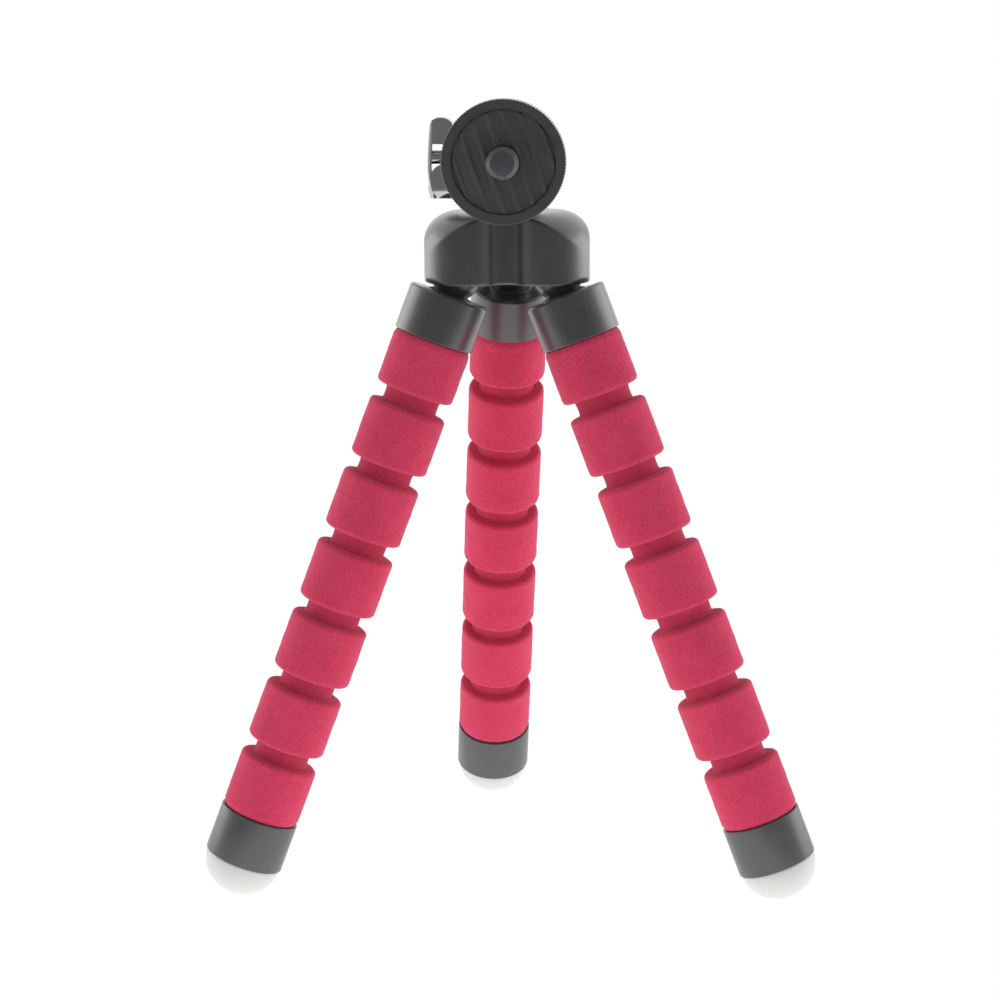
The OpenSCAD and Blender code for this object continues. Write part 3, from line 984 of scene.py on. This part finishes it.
HEAD_BALL_R = 7.0
STEM_R = 3.0
STEM_FLARE = 0.4
STEM_ROOT = 0.5
STEM_FILLET = 0.3
FLANGE_R = 4.8
FLANGE_T = 1.2
FLANGE_EDGE = 0.15
BALL_FIT = 0.1
CUP_R = 9.4
CUP_NECK_R = 5.6
CUP_NECK_BEVEL = 0.2
CUP_BORE_H = 5.1
CUP_MOUTH = 4.2
MOUTH_BEVEL = 1.3
MOUTH_ROUND = 1.5
MOUTH_EDGE = 0.25
CUP_GRID = 0.17
CUP_SMOOTHING = 4
SLOT_HALF = 3.4
BOSS_R = 3.6
BOSS_SINK = 1.8
BOSS_X = 10.6
SHANK_HOLE_R = 1.5
SHANK_HOLE_START = 4
# How far the cutting tools reach from the ball's middle, past the housing
CUT_REACH = 14


class TripodBallHead(bpy.types.Operator):
    """Ball with its stem, and the slotted housing that it turns in"""

    bl_idname = "tripod.ball_head"
    bl_label = "Ball head"

    def execute(self, context):
        self.ball()
        self.housing()
        return {"FINISHED"}

    def ball(self):
        """Turned ball and stem, with a polished flat collar where the stem begins."""
        metal = metal_finish("Turned metal", (0.58, 0.58, 0.6), 0.2)
        _, _, end = extent("head_ball", HEAD_AXES)
        flange = end - FLANGE_T
        meet = 180 - math.degrees(math.asin((STEM_R + STEM_FLARE) / HEAD_BALL_R))
        outline = arc(HEAD_BALL_R, 0, meet, 48)
        outline[0] = (0, -HEAD_BALL_R)
        outline += rounded([
            (*outline[-1], 0),
            (STEM_R, outline[-1][1] + STEM_ROOT, STEM_FILLET),
            (STEM_R, flange, 0),
            (FLANGE_R, flange, FLANGE_EDGE),
            (FLANGE_R, end, FLANGE_EDGE),
            (0, end, 0),
        ])[1:]
        ball = turned("ball_and_stem", outline, HEAD_AXES, 96)
        seat(ball, "head", "ball_metal", metal, "head_ball")

    def housing(self):
        """Cup of even wall on a neck, with a slot for the stem and a boss for the knob."""
        low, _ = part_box("head_socket")
        axes = Matrix.Translation(HEAD_BALL)
        seat_z = (low.z - HEAD_BALL.z) / MM
        cup_low = math.degrees(math.asin(CUP_NECK_R / CUP_R))
        cavity = HEAD_BALL_R + BALL_FIT
        mouth = CUP_MOUTH - MOUTH_BEVEL
        mouth_r = math.sqrt(cavity**2 - mouth**2)
        bore_end = seat_z + CUP_BORE_H
        outline = [(0, bore_end), (SCREW_BORE_R, bore_end), (SCREW_BORE_R, seat_z)]
        outline.append((CUP_NECK_R - CUP_NECK_BEVEL, seat_z))
        outline.append((CUP_NECK_R, seat_z + CUP_NECK_BEVEL))
        outline += arc(CUP_R, cup_low, 90, 24)
        outline += rounded([
            (CUP_R, 0, 0),
            (CUP_R, CUP_MOUTH, MOUTH_ROUND),
            (mouth_r + MOUTH_BEVEL, CUP_MOUTH, MOUTH_EDGE),
            (mouth_r, mouth, 0),
        ], steps=8)[1:]
        wide = 90 + math.degrees(math.asin(mouth / cavity))
        outline += arc(cavity, wide, 0, 40)[1:]
        outline[-1] = (0, -cavity)
        cup = turned("slotted_housing", outline, axes, 128)
        for name, radius, start, end, around, operation in (
            ("boss_tool", BOSS_R, CUP_R - BOSS_SINK, BOSS_X, 64, "UNION"),
            ("hole_tool", SHANK_HOLE_R, SHANK_HOLE_START, CUT_REACH, 48, "DIFFERENCE"),
        ):
            outline = [(0, start), (radius, start), (radius, end), (0, end)]
            joined(cup, turned(name, outline, SHANK_AXES, around), operation)
        slot_plan = [(SLOT_HALF, CUT_REACH), (-SLOT_HALF, CUT_REACH)]
        for angle in np.linspace(math.pi, 2 * math.pi, 33):
            slot_plan.append((SLOT_HALF * math.cos(angle), SLOT_HALF * math.sin(angle)))
        slot = extruded("slot_tool", [(slot_plan, 0), (slot_plan, CUT_REACH)], HEAD_AXES)
        joined(cup, slot, "DIFFERENCE")
        softened(cup, CUP_GRID, CUP_SMOOTHING)
        tidy_faces(cup, 60)
        seat(cup, "base", "black_plastic", black_plastic(), "head_socket")


PLATE_R = 12.3
PLATE_EDGE = 0.3
PLATE_EDGE_ROUND = 0.2
FRONT_EDGE = 0.1
FRONT_EDGE_ROUND = 0.04
PLATE_STEP = 0.8
PAD_R = 10.6
PAD_SINK = 1.4
PAD_BASE = 0.8
RIB_HEIGHT = 0.4
RIB_HALF = 0.45
RIB_SHOULDER = 0.3
PAD_LIP_R = 10.3
PAD_LIP = 0.58
SHOULDER_R = 10.22
SHOULDER = 0.4
PAD_GROOVE = 0.05
PAD_AROUND = 480
PAD_ROWS = 56
PAD_ROW_GAP = 0.1
PAD_FIT = 0.04
STEM_FIT = 0.1
FLOOR_T = 1.5
SCREW_R = 3.175
PAD_HOLE_GAP = 0.15
# The knurl starts this far inside the rim and is at its full depth a little further out
KNURL_IN = 0.5
KNURL_RISE = 0.3
TOOTH_CURVE = 1.5
TOOTH_STEPS = 6
THREAD_DEPTH = 0.62
# Parts of a turn: half of the ridge at its foot, and the width of its flank
THREAD_FOOT = 0.44
THREAD_FLANK = 0.36
THREAD_STEPS = 64
THREAD_RUN_IN = 6
SCREW_WAIST = 0.4
SCREW_CHAMFER = 0.8
SCREW_RUN_OUT = 0.3
TIP_EDGE_H = 0.08
TIP_EDGE = 0.1


class TripodPlatform(bpy.types.Operator):
    """Knurled camera platform, its ribbed rubber pad and the camera screw"""

    bl_idname = "tripod.platform"
    bl_label = "Camera platform"

    def execute(self, context):
        settings = context.scene.tripod_head
        _, back, front = extent("platform", HEAD_AXES)
        self.plate(settings, back, front)
        self.pad(settings, front - PAD_SINK)
        self.screw(settings, front)
        return {"FINISHED"}

    def plate(self, settings, back, front):
        """Turned plate with a straight knurl that runs over both edges of its rim."""
        outline = rounded([
            (STEM_R + STEM_FIT, back, CRISP_EDGE),
            (PLATE_R - PLATE_EDGE, back, PLATE_EDGE_ROUND),
            (PLATE_R, back + PLATE_EDGE, PLATE_EDGE_ROUND),
            (PLATE_R, front - FRONT_EDGE, FRONT_EDGE_ROUND),
            (PLATE_R - FRONT_EDGE, front, FRONT_EDGE_ROUND),
            (PAD_R + PAD_FIT, front, 0),
            (PAD_R + PAD_FIT, front - PAD_SINK, 0),
            (FLANGE_R + STEM_FIT, front - PAD_SINK, 0),
            (FLANGE_R + STEM_FIT, back + FLOOR_T, 0),
            (STEM_R + STEM_FIT, back + FLOOR_T, 0),
        ], closed=True, steps=4)
        outline = refined(outline, PLATE_STEP, closed=True)
        around = settings.teeth * TOOTH_STEPS
        tooth = 0.5 - 0.5 * np.cos(angles_round(around) * settings.teeth)
        rows = []
        for radius, height in outline:
            share = min(1, max(0, (radius - (PLATE_R - KNURL_IN)) / KNURL_RISE))
            cut = share * settings.tooth_depth
            rows.append(turned_row(radius - cut * tooth**TOOTH_CURVE, height, around))
        plate = skin("knurled_platform", rows, HEAD_AXES, loop=True, sharp=44)
        seat(plate, "plate", "black_plastic", black_plastic(), "platform")

    def pad(self, settings, floor):
        """Rubber pad whose ribs have soft shoulders."""
        rubber = plastic_finish(
            "Ribbed rubber", (0.05, 0.05, 0.053), 0.5, grain=4.0, depth=0.03, rubs=0.3, shine=0.6
        )
        around, hole = PAD_AROUND, SCREW_R + PAD_HOLE_GAP
        turn = np.linspace(math.pi / 2, 0, 10)
        shoulder = SHOULDER_R - SHOULDER * (1 - np.sin(turn))
        middle = np.linspace(SHOULDER_R - SHOULDER - PAD_ROW_GAP, hole, PAD_ROWS)
        angle = angles_round(around)
        pitch = 2 * PAD_R / settings.ribs
        rows = [turned_row(radius, floor, around) for radius in (hole, PAD_R)]
        for radius in (PAD_R, PAD_LIP_R):
            rows.append(turned_row(radius, floor + PAD_BASE + PAD_LIP, around))
        for radius in (PAD_LIP_R - PAD_FIT, *shoulder, *middle):
            x, y = radius * np.cos(angle), radius * np.sin(angle)
            across = x * math.cos(settings.rib_slant) + y * math.sin(settings.rib_slant)
            offset = np.abs((across / pitch + settings.ribs / 2) % 1 - 0.5) * pitch
            rise = np.clip((RIB_HALF + RIB_SHOULDER - offset) / (2 * RIB_SHOULDER), 0, 1)
            rise = rise * rise * (3 - 2 * rise)
            over = min(1, max(0, (radius - SHOULDER_R + SHOULDER) / SHOULDER))
            fall = 1 - math.sqrt(1 - over * over)
            rise = RIB_HEIGHT * rise * (1 - fall) - PAD_GROOVE * fall
            rows.append(turned_row(radius, floor + PAD_BASE + rise, around))
        pad = skin("ribbed_pad", rows, HEAD_AXES, loop=True, sharp=55)
        seat(pad, "plate", "pad_rubber", rubber, "pad")

    def screw(self, settings, face):
        """Camera screw with its thread, on a flange under the pad."""
        steel = metal_finish("Blackened steel", (0.2, 0.2, 0.22), 0.55, rubs=0.5)
        _, low, end = extent("camera_screw", HEAD_AXES)
        around = 96
        turn = angles_round(around) / (2 * math.pi)
        core = SCREW_R - THREAD_DEPTH
        rows = [turned_row(radius, height, around) for radius, height in rounded([
            (0, low, 0),
            (FLANGE_R, low, CRISP_EDGE),
            (FLANGE_R, face - PAD_SINK, CRISP_EDGE),
            (SCREW_R - SCREW_WAIST, face - PAD_SINK, 0),
            (SCREW_R - SCREW_WAIST, face - SCREW_RUN_OUT, 0),
        ])]
        for step in range(THREAD_STEPS + 1):
            height = face + (end - face - TIP_EDGE_H) * step / THREAD_STEPS
            phase = (height / settings.thread_pitch - turn) % 1
            crest = np.clip((THREAD_FOOT - np.abs(phase - 0.5)) / THREAD_FLANK, 0, 1)
            start = min(1, step / THREAD_RUN_IN)
            limit = SCREW_R - max(0, height - (end - SCREW_CHAMFER))
            ring = np.minimum(core + (SCREW_R - core) * crest * start, limit)
            rows.append(turned_row(ring, height, around))
        tip = SCREW_R - SCREW_CHAMFER
        rows += [turned_row(radius, end, around) for radius in (tip - TIP_EDGE, 0)]
        screw = skin("threaded_screw", rows, HEAD_AXES, sharp=50)
        seat(screw, "plate", "steel", steel, "camera_screw")


# The knob is measured outwards and upwards from the head's ball
KNOB_OUT = 16.3
KNOB_BOW = 0.75
KNOB_BOW_Z = -3.0
KNOB_EAR_IN = 10.9
KNOB_LOW = -8.2
KNOB_TOP = 8.0
KNOB_HALF_T = 2.6
KNOB_STRAP = 1.1
STRAP_LEAN = 0.95
STRAP_FALL = 0.75
STRAP_CURVE = 0.8
STRAP_END = 0.7
UPPER_EAR_LOW = 2.7
UPPER_ARCH = 1.1
ARCH_CURVE = 2.4
LOWER_EAR_TOP = -1.2
LOWER_ROUND = 3.2
LOWER_FOOT_OUT = 0.2
LOWER_FOOT_IN = 0.4
LOWER_TOP_IN = 0.6
EAR_EDGE = 0.3
EAR_SLOPE = 0.75
EAR_CURVE = 2.5
EAR_GAP = 0.4
# What an ear has over before it is cut to its outline
EAR_SPARE = 1
EAR_CUT_HALF = 4
FOOT_CHAMFER = 1.2
FOOT_TAPER = 0.35
SHANK_R = 1.4
SHANK_END = 7.15
SHANK_TIP = 0.25
# Outlines seen from the front, in the knob's place
KNOB_FRONT = KNOB_AXES @ Matrix.Rotation(math.radians(90), 4, "X")


def ear_plan(share):
    """Level cut through an ear: its front and back fall away towards the strap."""
    out, near = -KNOB_OUT + KNOB_BOW + EAR_GAP, -KNOB_EAR_IN
    front = []
    for along in np.linspace(0, 1, 15):
        fall = EAR_SLOPE * (1 - along) ** EAR_CURVE
        front.append((out + (near - out) * along, -(KNOB_HALF_T - fall) * share))
    return front + [(x, -y) for x, y in reversed(front)]


def ear(name, low, top, outline, chamfer):
    """Ear of the knob: its plan, cut to its outline as seen from the front."""
    foot, full = ear_plan(1 - FOOT_TAPER * chamfer / FOOT_CHAMFER), ear_plan(1)
    piece = extruded(name, [(foot, low), (full, low + chamfer), (full, top)], KNOB_AXES)
    cut = [(outline, -EAR_CUT_HALF), (outline, EAR_CUT_HALF)]
    return joined(piece, extruded(name + "_tool", cut, KNOB_FRONT), "INTERSECT")


class TripodKnob(bpy.types.Operator):
    """Chromed lock knob: two ears on a bowed strap, with the shank between them"""

    bl_idname = "tripod.knob"
    bl_label = "Lock knob"

    def execute(self, context):
        settings = context.scene.tripod_head
        chrome = metal_finish(
            "Polished chrome", settings.chrome_colour, 0.07, depth=0.002, rubs=0.5
        )
        knob = self.strap()
        out, near = -KNOB_OUT + KNOB_BOW, -KNOB_EAR_IN
        middle, half = (out + near) / 2, (near - out) / 2
        arch = [
            (middle + half * share, KNOB_TOP - UPPER_ARCH * abs(share) ** ARCH_CURVE)
            for share in np.linspace(1, -1, 25)
        ]
        upper = [(out, UPPER_EAR_LOW), (near, UPPER_EAR_LOW), *arch]
        lower = rounded([
            (out, KNOB_LOW, LOWER_FOOT_OUT),
            (near, KNOB_LOW, LOWER_FOOT_IN),
            (near, LOWER_EAR_TOP, LOWER_TOP_IN),
            (out, LOWER_EAR_TOP, LOWER_ROUND),
        ], closed=True, steps=14)
        for name, low, top, outline, chamfer in (
            ("upper_ear", UPPER_EAR_LOW - EAR_SPARE, KNOB_TOP + EAR_SPARE, upper, EAR_EDGE),
            ("lower_ear", KNOB_LOW, LOWER_EAR_TOP + EAR_SPARE, lower, FOOT_CHAMFER),
        ):
            joined(knob, ear(name, low, top, outline, chamfer), "UNION")
        shank = turned("shank_tool", rounded([
            (0, SHANK_END, 0),
            (SHANK_R, SHANK_END, SHANK_TIP),
            (SHANK_R, KNOB_OUT - KNOB_STRAP / 2, 0),
            (0, KNOB_OUT - KNOB_STRAP / 2, 0),
        ]), SHANK_AXES, 64)
        joined(knob, shank, "UNION")
        tidy_faces(knob, 40)
        seat(knob, "knob", "chrome", chrome, "lock_knob")
        return {"FINISHED"}

    def strap(self):
        """Bowed outer strap whose front and back lean outwards, as the ears do beside it."""
        outer = []
        top, low = KNOB_TOP - UPPER_ARCH, KNOB_LOW
        for height in (top, *np.linspace(top - STRAP_END, low + STRAP_END, 37), low):
            reach = (KNOB_TOP if height > KNOB_BOW_Z else KNOB_LOW) - KNOB_BOW_Z
            bow = KNOB_BOW * ((height - KNOB_BOW_Z) / reach) ** 2
            outer.append((-KNOB_OUT + bow, height))
        inner = [(x + KNOB_STRAP, height) for x, height in reversed(outer)]
        levels = []
        for share in np.linspace(0, 1, 8):
            lean = STRAP_LEAN * (1 - share**STRAP_CURVE)
            leaning = [(x + lean, height) for x, height in outer]
            levels.append((leaning + inner, EAR_SLOPE - KNOB_HALF_T + STRAP_FALL * share))
        levels += [(points, -height) for points, height in reversed(levels)]
        return extruded("chrome_knob", levels, KNOB_FRONT)


PAN_HEAD_R = 3.5
PAN_HEAD_H = 2.4
PAN_HEAD_ROUND = 0.9
PAN_SHAFT_R = 2.0
PAN_SHAFT_TIP = 0.4
CROSS_HALF = 0.36
CROSS_REACH = 1.7
CROSS_DEPTH = 1.6
CROSS_TAPER = 0.55


class TripodFittings(bpy.types.Operator):
    """Screw under the hub, and the bendable cores inside the legs"""

    bl_idname = "tripod.fittings"
    bl_label = "Screw and cores"

    def execute(self, context):
        steel = metal_finish("Bright steel", (0.5, 0.5, 0.52), 0.28)
        low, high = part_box("hub_screw")
        axes = Matrix.Translation((HEAD_BALL.x, HEAD_BALL.y, low.z))
        length = (high.z - low.z) / MM
        outline = rounded([
            (0, 0, 0),
            (PAN_HEAD_R, 0, PAN_HEAD_ROUND),
            (PAN_HEAD_R, PAN_HEAD_H, CRISP_EDGE),
            (PAN_SHAFT_R, PAN_HEAD_H, 0),
            (PAN_SHAFT_R, length, PAN_SHAFT_TIP),
            (0, length, 0),
        ])
        screw = turned("hub_pan_screw", outline, axes, 64)
        arm, wing = CROSS_HALF, CROSS_REACH
        cross = [
            (arm, -wing), (arm, -arm), (wing, -arm), (wing, arm), (arm, arm), (arm, wing),
            (-arm, wing), (-arm, arm), (-wing, arm), (-wing, -arm), (-arm, -arm), (-arm, -wing),
        ]
        small = [(x * CROSS_TAPER, y * CROSS_TAPER) for x, y in cross]
        tool = extruded("cross_tool", [(cross, -0.5), (cross, 0), (small, CROSS_DEPTH)], axes)
        joined(screw, tool, "DIFFERENCE")
        tidy_faces(screw, 35)
        seat(screw, "base", "steel", steel, "hub_screw")
        wire = metal_finish("Drawn aluminium", (0.7, 0.7, 0.72), 0.3)
        for leg in LEGS:
            for k in range(1, SEGMENTS + 1):
                core = frame["nodes"][f"{leg}_core_{k}"]
                core.data.materials.clear()
                core.data.materials.append(wire)
        return {"FINISHED"}


# Stage, in metres

CAMERA_PLACE = Vector((0.02509, -0.54925, 0.18381))
CAMERA_YAW = math.radians(2.94)
CAMERA_DOWN = math.radians(11.09)
CAMERA_ROLL = math.radians(-0.47)
SENSOR = 36
FLOOR_HALF = 2.0
FLOOR_FRONT = -0.2
FLOOR_BACK = 4.0
FLOOR_PAINT = 0.92
# Share of glow in the floor's light: in what it throws up, and in what is seen of it
FLOOR_GLOW_THROWN = 0.65
FLOOR_GLOW_SEEN = 0.93
FLOOR_SEEN_LEVEL = 1.04
# Directions between which the surround changes, as parts of a unit vector
FRONT_END = -0.8
GLOSS_END = 0.6
LIGHT_END = 0.1
COVER_START = 0.15
COVER_END = 0.9
GLOSS_ABOVE = 0.7
SOFTBOX_OUT = 0.6
SOFTBOX_BACK = 0.2
SOFTBOX_UP = 0.16
SOFTBOX_AIM = 0.09
SOFTBOX_SIZE = 0.5
SOFTBOX_POWER = 0.9


def seen_directly(tree):
    """Masks of the camera's rays, and of all rays that see the stage itself or its reflection."""
    rays = tree.nodes.new("ShaderNodeLightPath").outputs
    either = reckoned(tree, "MAXIMUM", rays["Is Camera Ray"], rays["Is Glossy Ray"])
    return rays["Is Camera Ray"], reckoned(tree, "MAXIMUM", either, rays["Is Transmission Ray"])


class TripodStage(bpy.types.Operator):
    """White stage: floor, soft light from the sides and behind, and the camera"""

    bl_idname = "tripod.stage"
    bl_label = "Stage"

    def execute(self, context):
        settings = context.scene.tripod_stage
        context.scene.view_settings.view_transform = "Standard"
        self.surround(context.scene, settings)
        self.floor(context.scene, settings)
        self.softboxes(context.scene)
        self.camera(context.scene, settings)
        return {"FINISHED"}

    def surround(self, scene, settings):
        """White background; the light and reflections from the front are dimmer."""
        world = bpy.data.worlds.new("White surround")
        scene.world = world
        world.use_nodes = True
        tree = world.node_tree
        camera_ray, direct = seen_directly(tree)
        where = tree.nodes.new("ShaderNodeTexCoord")
        parts = place(tree, "ShaderNodeSeparateXYZ", None, _0=where.outputs["Generated"]).outputs
        levels = []
        for low, high, above, end in (
            (settings.front_gloss, 1.0, GLOSS_ABOVE, GLOSS_END),
            (settings.front_light, settings.side_light, settings.top_light, LIGHT_END),
        ):
            ramp = between(tree, parts["Y"], low, high, FRONT_END, end)
            ramp.node.interpolation_type = "SMOOTHSTEP"
            cover = between(tree, parts["Z"], 1, above, COVER_START, COVER_END)
            levels.append(reckoned(tree, "MULTIPLY", ramp, cover))
        gloss, light = levels
        mirrored = place(tree, "ShaderNodeMix", None, _0=camera_ray, _2=gloss, _3=1)
        level = place(tree, "ShaderNodeMix", None, _0=direct, _2=light, _3=mirrored.outputs[0])
        plug(tree, tree.nodes["Background"], Color=(1, 1, 1, 1), Strength=level.outputs[0])

    def floor(self, scene, settings):
        """Pale floor that shows as white and keeps a faint shadow."""
        corners = [
            (-FLOOR_HALF, FLOOR_FRONT, 0), (FLOOR_HALF, FLOOR_FRONT, 0),
            (FLOOR_HALF, FLOOR_BACK, 0), (-FLOOR_HALF, FLOOR_BACK, 0),
        ]
        mesh = bpy.data.meshes.new("floor")
        mesh.from_pydata(corners, [], [(0, 1, 2, 3)])
        floor = bpy.data.objects.new("floor", mesh)
        scene.collection.objects.link(floor)
        finish, shader = blank_finish("White floor")
        tree = finish.node_tree
        tree.nodes.remove(shader)
        _, direct = seen_directly(tree)
        share = between(tree, direct, FLOOR_GLOW_THROWN, FLOOR_GLOW_SEEN)
        strength = between(tree, direct, settings.floor_light, FLOOR_SEEN_LEVEL)
        grey = (FLOOR_PAINT, FLOOR_PAINT, FLOOR_PAINT, 1)
        paint = place(tree, "ShaderNodeBsdfDiffuse", None, Color=grey).outputs[0]
        glow = place(tree, "ShaderNodeEmission", None, Strength=strength).outputs[0]
        mix = place(tree, "ShaderNodeMixShader", None, _0=share, _1=paint, _2=glow)
        plug(tree, tree.nodes["Material Output"], Surface=mix.outputs[0])
        mesh.materials.append(finish)

    def softboxes(self, scene):
        """Two soft lamps, one on each side, towards the back."""
        target = Vector((0, HEAD_BALL.y, SOFTBOX_AIM))
        for name, side in (("left_softbox", -1), ("right_softbox", 1)):
            lamp = bpy.data.lights.new(name, "AREA")
            lamp.shape = "SQUARE"
            lamp.size = SOFTBOX_SIZE
            lamp.energy = SOFTBOX_POWER
            holder = bpy.data.objects.new(name, lamp)
            holder.location = (side * SOFTBOX_OUT, SOFTBOX_BACK, SOFTBOX_UP)
            aim = target - holder.location
            holder.rotation_euler = aim.to_track_quat("-Z", "Y").to_euler()
            scene.collection.objects.link(holder)

    def camera(self, scene, settings):
        """Camera in front of the tripod, a little above it."""
        lens = bpy.data.cameras.new("camera")
        lens.sensor_width = SENSOR
        lens.lens = settings.lens
        lens.clip_start = 0.01
        lens.clip_end = 50
        holder = bpy.data.objects.new("camera", lens)
        holder.matrix_world = (
            Matrix.Translation(CAMERA_PLACE)
            @ Matrix.Rotation(CAMERA_YAW, 4, "Z")
            @ Matrix.Rotation(math.pi / 2 - CAMERA_DOWN, 4, "X")
            @ Matrix.Rotation(CAMERA_ROLL, 4, "Z")
        )
        scene.collection.objects.link(holder)
        scene.camera = holder


OPERATORS = (
    TripodStage, TripodFoam, TripodCollars, TripodFeet, TripodHub, TripodBallHead,
    TripodPlatform, TripodKnob, TripodFittings,
)
SETTINGS = {
    "tripod_foam": TripodFoamSettings,
    "tripod_plastic": TripodPlasticSettings,
    "tripod_head": TripodHeadSettings,
    "tripod_stage": TripodStageSettings,
}


class TripodPanel(bpy.types.Panel):
    """Lists the steps that build the tripod, and its settings"""

    bl_idname = "VIEW3D_PT_tripod"
    bl_label = "Flexible leg tripod"
    bl_space_type = "VIEW_3D"
    bl_region_type = "UI"
    bl_category = "Tripod"

    def draw(self, context):
        for operator in OPERATORS:
            self.layout.operator(operator.bl_idname)
        for group in SETTINGS:
            settings = getattr(context.scene, group)
            for name in settings.__annotations__:
                self.layout.prop(settings, name)


def register():
    for kind in (*SETTINGS.values(), *OPERATORS, TripodPanel):
        bpy.utils.register_class(kind)
    for name, kind in SETTINGS.items():
        setattr(bpy.types.Scene, name, PointerProperty(type=kind))


def unregister():
    for name in SETTINGS:
        delattr(bpy.types.Scene, name)
    for kind in reversed((*SETTINGS.values(), *OPERATORS, TripodPanel)):
        bpy.utils.unregister_class(kind)


def main():
    register()
    for operator in OPERATORS:
        getattr(bpy.ops.tripod, operator.bl_idname.split(".")[1])()


if __name__ == "__main__":
    main()
